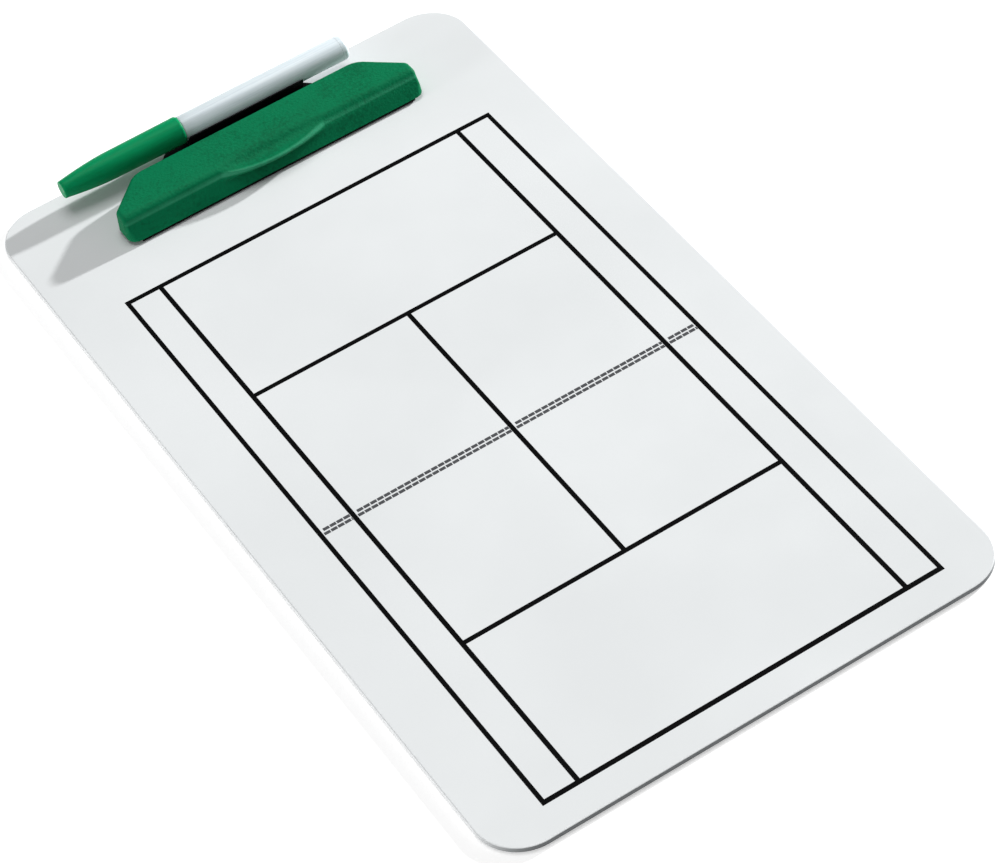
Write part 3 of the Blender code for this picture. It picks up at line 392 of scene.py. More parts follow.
WHITE_BOARD = white_board_material()
SHEET_EDGE = sheet_edge_material()
BLACK_INK = ink_material("Black screen ink", "#020203", "#070708")
GREY_INK = ink_material("Grey screen ink", "#4b4c4f", "#58595c")
GREEN_GRAIN = green_grain_material()
GREEN_CAP = green_cap_material()
WHITE_TUBE = white_tube_material()
BLACK_BASE = moulded_material("Moulded black polypropylene", "#040505", "#0b0c0d", 0.5, 0.556, 0.15)
RUBBER = moulded_material("Moulded black rubber", "#060606", "#0e0e0e", 0.8, 0.4, 0.1)
PLATED = steel_material("Zinc plated steel", "#a9adb0", "#c3c6c8", 0.32, 0.455)
WIRE = steel_material("Drawn spring steel wire", "#8f9396", "#b2b5b8", 0.26, 0.333)
LINER = moulded_material("Soft moulded polyethylene", "#c9ccc8", "#d8dbd7", 0.5, 1.11)
SECTION = moulded_material("Moulded grey polypropylene", "#b4babd", "#c4cacd", 0.42, 1.11)
FELT = fibre_material("Inked pressed felt", "#0a3d24", "#14653d")
FIBRE = fibre_material("Inked polyester fibre", "#5d8f73", "#8fb8a0")


# Mesh helpers

# Angles in degrees past which an edge is sharp: on most pieces, the jaw, turned parts and wire
SHARP = 35.0
JAW_SHARP = 40.0
TURNED_SHARP = 32.0
WIRE_SHARP = 50.0


def shade(mesh, angle):
    """Smooth shading that keeps edges past an angle in degrees sharp."""
    mesh.shade_smooth()
    mesh.set_sharp_from_angle(angle=math.radians(angle))


def make_piece(name, bm, material, body, replaces=(), sharp=SHARP):
    """Turn a bmesh in the model's frame into a piece that rides on a body."""
    bmesh.ops.remove_doubles(bm, verts=bm.verts, dist=0.000001)
    bmesh.ops.recalc_face_normals(bm, faces=bm.faces)
    mesh = bpy.data.meshes.new(name)
    bm.to_mesh(mesh)
    bm.free()
    shade(mesh, sharp)
    mesh.materials.append(material)
    obj = bpy.data.objects.new(name, mesh)
    bpy.context.scene.collection.objects.link(obj)
    if body:
        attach(obj, body)
    if replaces:
        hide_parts(*replaces)
    return obj


def prism(bm, outline, direction):
    """Closed prism: an outline extruded along a direction."""
    face = bm.faces.new([bm.verts.new(point) for point in outline])
    result = bmesh.ops.extrude_face_region(bm, geom=[face])
    moved = [item for item in result["geom"] if isinstance(item, bmesh.types.BMVert)]
    bmesh.ops.translate(bm, verts=moved, vec=direction)


def turned(bm, profile, centre, axis, sides):
    """Spin a profile of (distance along the axis, radius) once round an axis. A profile that
    starts off the axis is a ring's section and is closed first."""
    axis = Vector(axis).normalized()
    side = axis.orthogonal().normalized()
    centre = Vector(centre)
    ring = [bm.verts.new(centre + axis * along + side * radius) for along, radius in profile]
    closed = profile[0][1] > 0.0
    pairs = list(zip(ring, ring[1:])) + ([(ring[-1], ring[0])] if closed else [])
    edges = [bm.edges.new(pair) for pair in pairs]
    bmesh.ops.spin(bm, geom=ring + edges, cent=centre, axis=axis, angle=2.0 * math.pi,
                   steps=sides, use_merge=True)


def arc(centre, radius, start, end, steps):
    """Points of an arc between two angles."""
    points = []
    for step in range(steps + 1):
        angle = start + (end - start) * step / steps
        points.append((centre[0] + radius * math.cos(angle), centre[1] + radius * math.sin(angle)))
    return points


def soften(obj, width):
    """Rounded edges with flat faces kept flat."""
    bevel = obj.modifiers.new("soft edges", "BEVEL")
    bevel.width = width
    bevel.segments = 2
    bevel.limit_method = "ANGLE"
    bevel.angle_limit = math.radians(SHARP)
    bevel.harden_normals = True


def cut(obj, cutter_bm, sharp=SHARP):
    """Take a closed bmesh out of a piece, for good."""
    bmesh.ops.recalc_face_normals(cutter_bm, faces=cutter_bm.faces)
    mesh = bpy.data.meshes.new("cutter")
    cutter_bm.to_mesh(mesh)
    cutter_bm.free()
    cutter = bpy.data.objects.new("cutter", mesh)
    bpy.context.scene.collection.objects.link(cutter)
    boolean = obj.modifiers.new("cut", "BOOLEAN")
    boolean.operation = "DIFFERENCE"
    boolean.solver = "FAST"
    boolean.object = cutter
    result = bpy.data.meshes.new_from_object(obj.evaluated_get(bpy.context.evaluated_depsgraph_get()))
    obj.modifiers.remove(boolean)
    obj.data = result
    bpy.data.objects.remove(cutter)
    shade(result, sharp)


# Board and print

BOARD_CORNER = 19.8 * MM
BOARD_EDGE_ROUND = 0.5 * MM
RIVET_HOLE_RADIUS = 2.2 * MM
SEAT_GAP = 0.6 * MM
SEAT_ROOF = 0.3 * MM
INK_THICK = 0.02 * MM


def build_panel():
    """Board with round corners and eased edges, and the two counterbores in its back."""
    bm = bmesh.new()
    outline = []
    for quarter, (sign_x, sign_y) in enumerate(((1, 1), (-1, 1), (-1, -1), (1, -1))):
        centre = (sign_x * (BOARD_HIGH.x - BOARD_CORNER), sign_y * (BOARD_HIGH.y - BOARD_CORNER))
        start = quarter * math.pi / 2
        outline += arc(centre, BOARD_CORNER, start, start + math.pi / 2, 28)
    prism(bm, [(x, y, 0.0) for x, y in outline], UP * BOARD_TOP)
    rims = [edge for edge in bm.edges
            if abs(edge.verts[0].co.z - edge.verts[1].co.z) < BOARD_TOP / 2]
    bmesh.ops.bevel(bm, geom=rims, offset=BOARD_EDGE_ROUND, segments=4, profile=0.5,
                    affect="EDGES", material=-1)
    flats = [face for face in bm.faces if abs(face.normal.z) > 0.99 and len(face.verts) > 8]
    bmesh.ops.inset_region(bm, faces=flats, thickness=0.4 * MM, use_even_offset=True)
    for face in bm.faces:
        face.material_index = 1 if abs(face.normal.z) < 0.8 else 0
    panel = make_piece("writing_panel", bm, WHITE_BOARD, "board", ("board_panel",))
    panel.data.materials.append(SHEET_EDGE)
    holes = bmesh.new()
    for name in ("rivet_left", "rivet_right"):
        low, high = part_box(name)
        washer_low, washer_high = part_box("rivet_washer_" + name[6:])
        seat = (washer_high.x - washer_low.x) / 2 + SEAT_GAP
        roof = washer_high.z + SEAT_ROOF
        profile = [(-BOARD_TOP, 0.0), (-BOARD_TOP, seat), (roof, seat), (roof, RIVET_HOLE_RADIUS),
                   (2 * BOARD_TOP, RIVET_HOLE_RADIUS), (2 * BOARD_TOP, 0.0)]
        turned(holes, profile, ((low.x + high.x) / 2, (low.y + high.y) / 2, 0.0), UP, 48)
    cut(panel, holes)


def strip_mesh(bm, columns, rows, keep, height, thick):
    """A flat sheet of cells between given columns and rows, keeping some, given a thickness."""
    grid = bmesh.ops.create_grid(bm, x_segments=len(columns) - 1, y_segments=len(rows) - 1, size=0.5)
    for vertex in grid["verts"]:
        column = round((vertex.co.x + 0.5) * (len(columns) - 1))
        row = round((vertex.co.y + 0.5) * (len(rows) - 1))
        vertex.co = (columns[column], rows[row], height)
    drop = [face for face in bm.faces if not keep(face.calc_center_median())]
    bmesh.ops.delete(bm, geom=drop, context="FACES")
    rise = bmesh.ops.extrude_face_region(bm, geom=bm.faces[:])
    moved = [item for item in rise["geom"] if isinstance(item, bmesh.types.BMVert)]
    bmesh.ops.translate(bm, verts=moved, vec=UP * thick)


# The printed court in millimetres, measured on the photograph: centre lines and half widths
SIDE_LINES, SIDE_HALF = (-87.40, 90.47), 0.99
SINGLES_LINES, SINGLES_HALF = (-72.00, 74.74), 1.04
CENTRE_LINE, CENTRE_HALF = 1.62, 1.02
BASE_LINES, BASE_HALF = (-191.85, 130.05), 1.17
SERVICE_LINES, SERVICE_HALF = (-110.95, 50.48), 1.12
NET_LINES, NET_HALF = (-31.22, -28.98), 0.76

# The net's dashes in millimetres; how far they stop short of the court's lines, how far the
# first dash stands in, and how far the second row is shifted against the first
NET_DASH = 2.72
NET_SPACE = 0.40
NET_SIDE_CLEAR = 0.80
NET_CLEAR = 0.85
NET_INSET = 0.6
NET_SHIFT = 0.7


def build_court():
    """The court in black ink: doubles and singles lines, service lines and centre line."""
    ends = (BASE_LINES[0] - BASE_HALF, BASE_LINES[1] + BASE_HALF)
    doubles = (SIDE_LINES[0] - SIDE_HALF, SIDE_LINES[1] + SIDE_HALF)
    singles = (SINGLES_LINES[0] - SINGLES_HALF, SINGLES_LINES[1] + SINGLES_HALF)
    boxes = [(x - SIDE_HALF, x + SIDE_HALF, *ends) for x in SIDE_LINES]
    boxes += [(x - SINGLES_HALF, x + SINGLES_HALF, *ends) for x in SINGLES_LINES]
    boxes += [(CENTRE_LINE - CENTRE_HALF, CENTRE_LINE + CENTRE_HALF, *SERVICE_LINES)]
    boxes += [(*doubles, y - BASE_HALF, y + BASE_HALF) for y in BASE_LINES]
    boxes += [(*singles, y - SERVICE_HALF, y + SERVICE_HALF) for y in SERVICE_LINES]
    boxes = [tuple(value * MM for value in box) for box in boxes]
    columns = sorted({value for box in boxes for value in box[:2]})
    rows = sorted({value for box in boxes for value in box[2:]})

    def inked(point):
        return any(x0 < point.x < x1 and y0 < point.y < y1 for x0, x1, y0, y1 in boxes)

    bm = bmesh.new()
    strip_mesh(bm, columns, rows, inked, BOARD_TOP, INK_THICK)
    make_piece("court_lines", bm, BLACK_INK, "board")


def build_net():
    """The net: two dashed lines in thinner ink across the whole court."""
    stops = [SIDE_LINES[0] + NET_SIDE_CLEAR, SIDE_LINES[1] - NET_SIDE_CLEAR]
    for line in (SINGLES_LINES[0], CENTRE_LINE, SINGLES_LINES[1]):
        stops += [line - NET_CLEAR, line + NET_CLEAR]
    stops.sort()
    bm = bmesh.new()
    for row, y in enumerate(NET_LINES):
        low, high = (y - NET_HALF) * MM, (y + NET_HALF) * MM
        for start, end in zip(stops[0::2], stops[1::2]):
            x = start + NET_INSET + row * NET_SHIFT
            while x < end - NET_INSET:
                x0, x1 = x * MM, min(x + NET_DASH, end - NET_INSET / 2) * MM
                corners = ((x0, low), (x1, low), (x1, high), (x0, high))
                prism(bm, [(*corner, BOARD_TOP) for corner in corners], UP * INK_THICK)
                x += NET_DASH + NET_SPACE
    make_piece("net_lines", bm, GREY_INK, "board")


# Clip jaw

def plain_keys():
    """Front face beside the lip, as (setback, height): a leaning plane rolling into the top. The
    keys stand closer together towards the ridge."""
    centre_z = RIDGE - RIDGE_ROUND
    roll_start = centre_z + RIDGE_ROUND * math.sin(LEAN)
    centre_y = face_setback(roll_start) + RIDGE_ROUND * math.cos(LEAN)
    keys = []
    for share in (0.0, 0.36, 0.6, 0.72, 0.8, 0.88, 0.94):
        height = FOOT + (roll_start - FOOT) * share
        keys.append((face_setback(height), height))
    return keys + arc((centre_y, centre_z), RIDGE_ROUND, math.pi - LEAN, math.pi / 2, ROLL_STEPS)


def lip_keys():
    """Section through the middle of the lip: root, round nose, scooped shelf and ridge."""
    plain = plain_keys()
    root_z, nose, behind = 6.2 * MM, 0.9 * MM, 1.6 * MM
    centre = (face_setback(LIP_HEIGHT) - LIP_REACH + nose, LIP_HEIGHT)
    shelf = [(setback * MM, RIDGE - depth * MM)
             for setback, depth in ((3.0, 2.9), (5.9, 2.4), (8.2, 0.9))]
    return ([plain[0], plain[1], (face_setback(root_z), root_z)]
            + arc(centre, nose, math.radians(250), math.radians(80), 4) + shelf
            + [(plain[-1][0] + behind, RIDGE - behind * math.tan(TOP_FALL))])


def smooth_at(keys, t):
    """Point at t on a smooth line through the keys, t counting keys from 0."""
    index = min(int(t), len(keys) - 2)
    share = t - index
    near = (max(index - 1, 0), index, index + 1, min(index + 2, len(keys) - 1))
    before, start, end, after = (Vector(keys[place]) for place in near)
    reach = (end - start).length
    leave = (end - before) * (reach / max((end - before).length, 1e-9))
    arrive = (after - start) * (reach / max((after - start).length, 1e-9))
    s2, s3 = share * share, share ** 3
    return (start * (2 * s3 - 3 * s2 + 1) + leave * (s3 - 2 * s2 + share)
            + end * (3 * s2 - 2 * s3) + arrive * (s3 - s2))


def top_height(y):
    """Height of the top face above the board."""
    ridge_y = PIN_Y - FRONT + plain_keys()[-1][0]
    return RIDGE - (y - ridge_y) * math.tan(TOP_FALL)


def foot_height(y):
    """Height of the foot above the board; it rises from the pin to the rear edge."""
    return FOOT + REAR_LIFT * min(max((y - PIN_Y) / REAR, 0.0), 1.0)


def leg_height(reach):
    """Height of a spring's upper leg at a distance in front of the pin."""
    leave = -math.pi / 2 - LEG_RISE
    run = reach + COIL_RADIUS * math.cos(leave)
    return PIN_Z + COIL_RADIUS * math.sin(leave) + run * math.tan(LEG_RISE)


def lip_share(x):
    """How far the lip stands out at x, from 0 at its ends to 1 in its middle."""
    offset = abs(x - CLIP_X)
    if offset >= LIP_CHORD:
        return 0.0
    return (math.sqrt(LIP_RADIUS ** 2 - offset ** 2) - (LIP_RADIUS - LIP_REACH)) / LIP_REACH


def bend(before, corner, after, radius, steps):
    """A corner of an outline replaced by a tangent arc."""
    before, corner, after = Vector(before), Vector(corner), Vector(after)
    incoming = (before - corner).normalized()
    outgoing = (after - corner).normalized()
    half = incoming.angle(outgoing) / 2
    centre = corner + (incoming + outgoing).normalized() * (radius / math.sin(half))
    start = corner + incoming * (radius / math.tan(half)) - centre
    end = corner + outgoing * (radius / math.tan(half)) - centre
    return [tuple(centre + start.lerp(end, step / steps).normalized() * radius)
            for step in range(steps + 1)]


def right_end(front_y, inset, rounds):
    """Plan of the jaw's right end from its front corner to its rear edge."""
    end_x = CLIP_X + HALF_LENGTH - inset
    rear_y = PIN_Y + REAR - inset
    shift = inset * math.tan(math.pi / 8)
    places = [(CLIP_X, front_y), (end_x, front_y), (end_x, PIN_Y + REAR - CHAMFER),
              (end_x - CHAMFER + inset - shift, rear_y), (CLIP_X, rear_y)]
    plan = []
    for index, (radius, steps) in enumerate(zip(rounds, PLAN_STEPS)):
        plan += bend(*places[index:index + 3], radius, steps)
    return plan


# Places along the thumb lip, as X
STATIONS = [CLIP_X - LIP_CHORD + 2 * LIP_CHORD * step / LIP_STEPS for step in range(LIP_STEPS + 1)]


def jaw_loop(front, inset, height_of, rounds):
    """One closed loop round the jaw: front gives the setback and height of its front face at X,
    height_of the height of its ends and rear at Y, and rounds the three bends of its plan."""
    end_setback, end_height = front(CLIP_X + HALF_LENGTH)
    end_y = PIN_Y - FRONT + end_setback
    right = right_end(end_y, inset, rounds)
    left = [(2 * CLIP_X - x, y) for x, y in reversed(right)]
    loop = []
    for x in STATIONS:
        setback, height = front(x)
        loop.append(Vector((x, PIN_Y - FRONT + setback, BOARD_TOP + height)))
    lift = end_height - height_of(end_y)
    for x, y in right + left:
        depth = min(max((y - end_y) / rounds[0], 0.0), 1.0)
        loop.append(Vector((x, y, BOARD_TOP + height_of(y) + lift * (1 - depth))))
    return loop


def outer_loop(t, ease):
    """Loop of the jaw's outside at key number t; ease draws in the rounded foot."""
    plain = smooth_at(plain_keys(), t)
    lip = smooth_at(lip_keys(), t)
    rise = min(t / FACE_STEPS, 1.0)
    turn = max(t - FACE_STEPS, 0.0) / ROLL_STEPS * math.pi / 2
    inset = END_DRAFT * rise + EDGE_ROUND * (1 - math.cos(turn)) + ease

    def front(x):
        point = plain.lerp(lip, lip_share(x))
        return point.x + ease, point.y

    def height_of(y):
        foot = foot_height(y)
        wall_top = top_height(y) - EDGE_ROUND
        return foot + (wall_top - foot) * rise + EDGE_ROUND * math.sin(turn)

    corner = max(CORNER_ROUNDS[0] - plain.x, CORNER_ROUNDS[1])
    return jaw_loop(front, inset, height_of, (corner, CHAMFER_ROUND, SHOULDER_ROUND))


def inner_loop(level):
    """Loop of the hollow, from the foot up to the ceiling."""
    lean = WALL / math.cos(LEAN)
    foot_wall, foot_top = 4.0 * MM, FOOT + 3.0 * MM
    ceiling = RIDGE - WALL
    high = ceiling - 2.4 * MM
    ceiling_front = face_setback(ceiling) + lean + 1.6 * MM
    ceiling_height = top_height(PIN_Y - FRONT + ceiling_front) - WALL
    setback, height = ((foot_wall, FOOT), (foot_wall, foot_top),
                       (face_setback(high) + lean, high), (ceiling_front, ceiling_height))[level]

    def height_of(y):
        if level == 0:
            return foot_height(y)
        top = top_height(y) - WALL
        return min(height, top) if level < 3 else top

    inset = WALL * (1.5 if level == 3 else 1.0)
    rounds = (HOLLOW_ROUND, HOLLOW_ROUND, SHOULDER_ROUND - inset)
    return jaw_loop(lambda x: (setback, height), inset, height_of, rounds)


def extrude_loop(bm, loop, points):
    """Extrude a closed loop of vertices and move the new loop to the given points."""
    count = len(loop)
    edges = [bm.edges.get((loop[i], loop[(i + 1) % count])) for i in range(count)]
    result = bmesh.ops.extrude_edge_only(bm, edges=edges)
    fresh = {item for item in result["geom"] if isinstance(item, bmesh.types.BMVert)}
    above = [next(edge.other_vert(vertex) for edge in vertex.link_edges
                  if edge.other_vert(vertex) in fresh) for vertex in loop]
    for vertex, point in zip(above, points):
        vertex.co = point
    return above


def build_jaw():
    """The green moulding: shell with thumb lip and hollow, then the rear window."""
    bm = bmesh.new()
    start = [bm.verts.new(point) for point in outer_loop(0.0, FOOT_ROUND)]
    for index, vertex in enumerate(start):
        bm.edges.new((vertex, start[(index + 1) % len(start)]))
    loop = start
    for degrees in (35, 65):
        angle = math.radians(degrees)
        rise = UP * (FOOT_ROUND * (1 - math.cos(angle)))
        points = outer_loop(0.0, FOOT_ROUND * (1 - math.sin(angle)))
        loop = extrude_loop(bm, loop, [point + rise for point in points])
    thirds = 3 * (FACE_STEPS + ROLL_STEPS - 1)
    for t in [0.25, 1.0] + [1 + step / 3 for step in range(1, thirds + 1)]:
        loop = extrude_loop(bm, loop, outer_loop(t, 0.0))
    top = bm.faces.new(loop)
    bmesh.ops.inset_region(bm, faces=[top], thickness=0.3 * MM, use_even_offset=True)
    loop = start
    for level in range(4):
        loop = extrude_loop(bm, loop, inner_loop(level))
    bm.faces.new(loop)
    jaw = make_piece("clip_jaw_shell", bm, GREEN_GRAIN, "jaw", ("clip_jaw",),
                     JAW_SHARP)
    window = bmesh.new()
    inside, outside = PIN_Y + REAR - 1.3 * WALL, PIN_Y + 2 * REAR
    corners = ((-WINDOW_HALF, inside), (WINDOW_HALF, inside), (WINDOW_HALF, outside),
               (-WINDOW_HALF, outside))
    prism(window, [(CLIP_X + x, y, BOARD_TOP) for x, y in corners], UP * WINDOW_HIGH)
    cut(jaw, window, JAW_SHARP)


def along_x(bm, section, start, length):
    """Prism of a (Y, Z) section that runs along X."""
    prism(bm, [(start, y, z) for y, z in section], Vector((length, 0.0, 0.0)))


def add_ribs(bm):
    """Cross ribs under the top, two at each end of the moulding."""
    bite = WALL / 2
    front_y = PIN_Y - FRONT
    high = RIDGE - WALL - bite
    ridge_y = front_y + plain_keys()[-1][0]
    for setback in RIB_SETBACKS:
        offset = HALF_LENGTH - setback
        past = max(offset + RIB_THICK / 2 - (HALF_LENGTH - CHAMFER), 0.0)
        rear_y = PIN_Y + REAR - past - bite
        section = [(front_y + face_setback(RIB_FOOT) + bite, RIB_FOOT),
                   (front_y + face_setback(high) + bite, high),
                   (ridge_y, top_height(ridge_y) - bite), (rear_y, top_height(rear_y) - bite),
                   (rear_y, RIB_FOOT + bite)]
        section = [(y, BOARD_TOP + z) for y, z in section]
        for sign in (-1, 1):
            along_x(bm, section, CLIP_X + sign * offset - RIB_THICK / 2, RIB_THICK)


def add_knuckles(bm):
    """Hinge knuckles that hang from the top and the rear wall, one beside each ear of the base."""
    wall = PIN_Y + REAR - WALL / 2
    top = BOARD_TOP + top_height(wall) - WALL / 2
    section = [(wall, top), (wall, PIN_Z)]
    section += arc((PIN_Y, PIN_Z), KNUCKLE_RADIUS, -math.pi / 8, -math.pi, 20)
    section.append((PIN_Y - KNUCKLE_RADIUS, top))
    for start in (-KNUCKLE_NEAR - KNUCKLE_THICK, KNUCKLE_NEAR):
        along_x(bm, section, CLIP_X + start, KNUCKLE_THICK)


def add_spring_bars(bm):
    """Bars that the springs' upper legs press on, each held by two posts from the top."""
    post = 2.4 * MM
    bar_y = PIN_Y - BAR_BACK
    bar_z = leg_height(BAR_BACK) - (WIRE_THICK / 2 + LEG_GAP + BAR_RADIUS) / math.cos(LEG_RISE)
    low, high = bar_z - BAR_RADIUS, BOARD_TOP + top_height(bar_y + post) - WALL / 2
    section = [(bar_y - post, low), (bar_y + post, low), (bar_y + post, high), (bar_y - post, high)]
    reach = WIRE_THICK / 2 + 1.2 * MM + RIB_THICK / 2
    profile = [(-reach, 0.0), (-reach, BAR_RADIUS), (reach, BAR_RADIUS), (reach, 0.0)]
    for middle in (CLIP_X - COIL_START, CLIP_X + COIL_START):
        for side in (-reach, reach):
            along_x(bm, section, middle + side - RIB_THICK / 2, RIB_THICK)
        turned(bm, profile, (middle, bar_y, bar_z), (1, 0, 0), 32)


def build_jaw_ribs():
    """Inside of the moulding: cross ribs, hinge knuckles and the bars that hold the springs."""
    bm = bmesh.new()
    add_ribs(bm)
    add_knuckles(bm)
    add_spring_bars(bm)
    ribs = make_piece("clip_jaw_ribs", bm, GREEN_GRAIN, "jaw", ("clip_jaw",))
    soften(ribs, 0.15 * MM)


# Base, springs

def add_plate(bm):
    """Plate under the clip; behind the clip it widens, and it narrows again under the trough."""
    narrow, wide, end = 29.2 * MM, 38.5 * MM, 32.5 * MM
    step_y = PIN_Y + REAR + 0.9 * MM
    slant_y = MARKER_Y - 2.5 * MM
    half = [(narrow, PIN_Y - 12.5 * MM), (narrow, step_y), (wide, step_y), (wide, slant_y),
            (end, slant_y + wide - end), (end, MARKER_Y + 6.3 * MM)]
    outline = [(CLIP_X + x, y) for x, y in half] + [(CLIP_X - x, y) for x, y in reversed(half)]
    prism(bm, [(x, y, BASE_LOW.z) for x, y in outline], UP * PLATE_THICK)


def add_trough(bm):
    """Trough for the marker, thick below and thin at its two springy lips, on two webs."""
    inner, bed, lip = BARREL_RADIUS + 0.3 * MM, 1.6 * MM, 0.6 * MM
    rear_lip, front_lip = math.radians(14.0), math.radians(-172.0)
    middle, reach = (rear_lip + front_lip) / 2, (rear_lip - front_lip) / 2
    steps = 48
    outside = []
    for step in range(steps + 1):
        angle = rear_lip + (front_lip - rear_lip) * step / steps
        radius = inner + bed + (lip - bed) * (abs(angle - middle) / reach) ** 2
        outside.append((MARKER_Y + radius * math.cos(angle), MARKER_Z + radius * math.sin(angle)))
    inside = arc((MARKER_Y, MARKER_Z), inner, front_lip, rear_lip, steps)

    def tip(wall, bore):
        return (wall[0] + bore[0]) / 2 - 0.05 * MM, (wall[1] + bore[1]) / 2 + 0.28 * MM

    section = outside + [tip(outside[-1], inside[0])] + inside + [tip(outside[0], inside[-1])]
    left, right = CAP_HIGH.x + 0.6 * MM, 35.0 * MM
    along_x(bm, section, left, right - left)
    apart, half, low = 4.2 * MM, 0.9 * MM, BASE_LOW.z + 0.5 * MM
    top = MARKER_Z - math.sqrt((inner + 0.5 * bed) ** 2 - (apart + half) ** 2)
    for web in (MARKER_Y - apart, MARKER_Y + apart):
        section = [(web - half, low), (web + half, low), (web + half, top), (web - half, top)]
        along_x(bm, section, left, right - left)


def add_ears(bm):
    """Ears that carry the hinge pin, inside the knuckles of the jaw."""
    radius, thick, near = 3.2 * MM, 4.0 * MM, 25.2 * MM
    low = BASE_LOW.z + 0.5 * MM
    section = [(PIN_Y + radius, low)] + arc((PIN_Y, PIN_Z), radius, 0.0, math.pi, 28)
    section.append((PIN_Y - radius - 2.0 * MM, low))
    for start in (-near - thick, near):
        along_x(bm, section, CLIP_X + start, thick)


def build_base():
    """Black moulding: base plate, trough and hinge ears."""
    bm = bmesh.new()
    add_plate(bm)
    add_trough(bm)
    add_ears(bm)
    base = make_piece("clip_base_moulding", bm, BLACK_BASE, "board", ("clip_base",))
    soften(base, 0.2 * MM)


def build_spring(name, sign):
    """Torsion spring: one unbroken wire, a leg on the base, five turns, a leg over the bar."""
    inner = CLIP_X + sign * COIL_START
    outer = inner + sign * COIL_PITCH * COIL_TURNS
    rest_z = BASE_LOW.z + PLATE_THICK + LEG_GAP + WIRE_THICK / 2
    points = [(outer, PIN_Y + 7.0 * MM, rest_z),
              (outer, PIN_Y + 3.5 * MM, (rest_z + PIN_Z - COIL_RADIUS) / 2)]
    sweep = 2 * math.pi * COIL_TURNS + LEG_RISE
    steps = COIL_TURNS * 28
    for step in range(steps + 1):
        angle = -math.pi / 2 - sweep * step / steps
        points.append((outer + (inner - outer) * step / steps,
                       PIN_Y + COIL_RADIUS * math.cos(angle), PIN_Z + COIL_RADIUS * math.sin(angle)))
    points += [(inner, PIN_Y - reach, leg_height(reach)) for reach in (LEG_REACH / 2, LEG_REACH)]
    curve = bpy.data.curves.new(name, "CURVE")
    curve.dimensions = "3D"
    spline = curve.splines.new("POLY")
    spline.points.add(len(points) - 1)
    for point, place in zip(spline.points, points):
        point.co = (*place, 1.0)
    curve.bevel_depth = WIRE_THICK / 2
    curve.bevel_resolution = 3
    curve.use_fill_caps = True
    helper = bpy.data.objects.new(name, curve)
    bpy.context.scene.collection.objects.link(helper)
    mesh = bpy.data.meshes.new_from_object(
        helper.evaluated_get(bpy.context.evaluated_depsgraph_get()))
    bpy.data.objects.remove(helper)
    shade(mesh, WIRE_SHARP)
    mesh.materials.clear()
    mesh.materials.append(WIRE)
    spring = bpy.data.objects.new(name + "_wire", mesh)
    bpy.context.scene.collection.objects.link(spring)
    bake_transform(spring)
    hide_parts(name)


# Marker

def marker_piece(name, profile, material, body, replaces, sides=96):
    """A turned piece of the marker; its profile holds (X, radius)."""
    bm = bmesh.new()
    turned(bm, profile, (0.0, MARKER_Y, MARKER_Z), (1, 0, 0), sides)
    make_piece(name, bm, material, body, replaces, TURNED_SHARP)


def cap_radius(along):
    """Outer radius of the cap at a distance from its mouth."""
    if along <= CAP_STRAIGHT:
        return CAP_RADIUS - CAP_TAPER * along / CAP_STRAIGHT
    share = (along - CAP_STRAIGHT) / (CAP_HIGH.x - CAP_LOW.x - CAP_STRAIGHT)
    return CAP_RADIUS - CAP_TAPER - (CAP_RADIUS - CAP_TAPER - CAP_TIP_RADIUS) * share ** 1.7


def build_cap():
    """Cap: rounded rim, straight grip, curved taper, a flat tip with a round edge, and its bore."""
    mouth, tip = CAP_HIGH.x, CAP_LOW.x
    length = mouth - tip
    rim, run, edge = 0.7 * MM, 1.2 * MM, 0.45 * MM
    outer = [(mouth, CAP_RADIUS - rim)]
    outer += [(mouth - run + run * math.cos(a), CAP_RADIUS - rim + rim * math.sin(a))
              for a in (math.radians(step * 15) for step in range(1, 7))]
    places = [CAP_STRAIGHT * share for share in (0.05, 0.3, 0.6, 0.9)]
    places += [CAP_STRAIGHT + (length - CAP_STRAIGHT) * step / 24 for step in range(23)]
    outer += [(mouth - along, cap_radius(along)) for along in places]
    end = cap_radius(length - 1.1 * MM)
    outer += [(tip + edge - edge * math.sin(a), end - edge + edge * math.cos(a))
              for a in (math.radians(degrees) for degrees in (20, 45, 70, 90))]
    dish = [(tip, end - 1.0 * MM), (tip, 0.0)]
    bore, bottom, half = CAP_RADIUS - 0.9 * MM, tip + 2.0 * MM, (CAP_STRAIGHT + length) / 2
    inner = [(mouth, bore), (mouth - 12.0 * MM, bore)]
    inner += [(mouth - along, cap_radius(along) - CAP_WALL) for along in (CAP_STRAIGHT, half)]
    inner += [(bottom, CAP_TIP_RADIUS - CAP_WALL), (bottom, 0.0)]
    profile = dish[::-1] + outer[::-1] + inner
    marker_piece("marker_cap_shell", profile, GREEN_CAP, "cap", ("marker_cap",))


def build_barrel():
    """Barrel: a neck that goes into the cap, a shoulder and an eased rear rim."""
    front, start, rear = BARREL_LOW.x, CAP_HIGH.x + 0.3 * MM, BARREL_HIGH.x
    ease, part = 0.2 * MM, 0.06 * MM
    profile = [(front, BARREL_BORE), (front, NECK_RADIUS - ease), (front + ease, NECK_RADIUS),
               (start, NECK_RADIUS), (start, BARREL_RADIUS - ease),
               (start + part, BARREL_RADIUS - part), (start + ease, BARREL_RADIUS),
               (rear - SEAM_EASE, BARREL_RADIUS), (rear, BARREL_RADIUS - SEAM_EASE), (rear, BARREL_BORE)]
    marker_piece("marker_barrel_tube", profile, WHITE_TUBE, "marker", ("marker_barrel",))


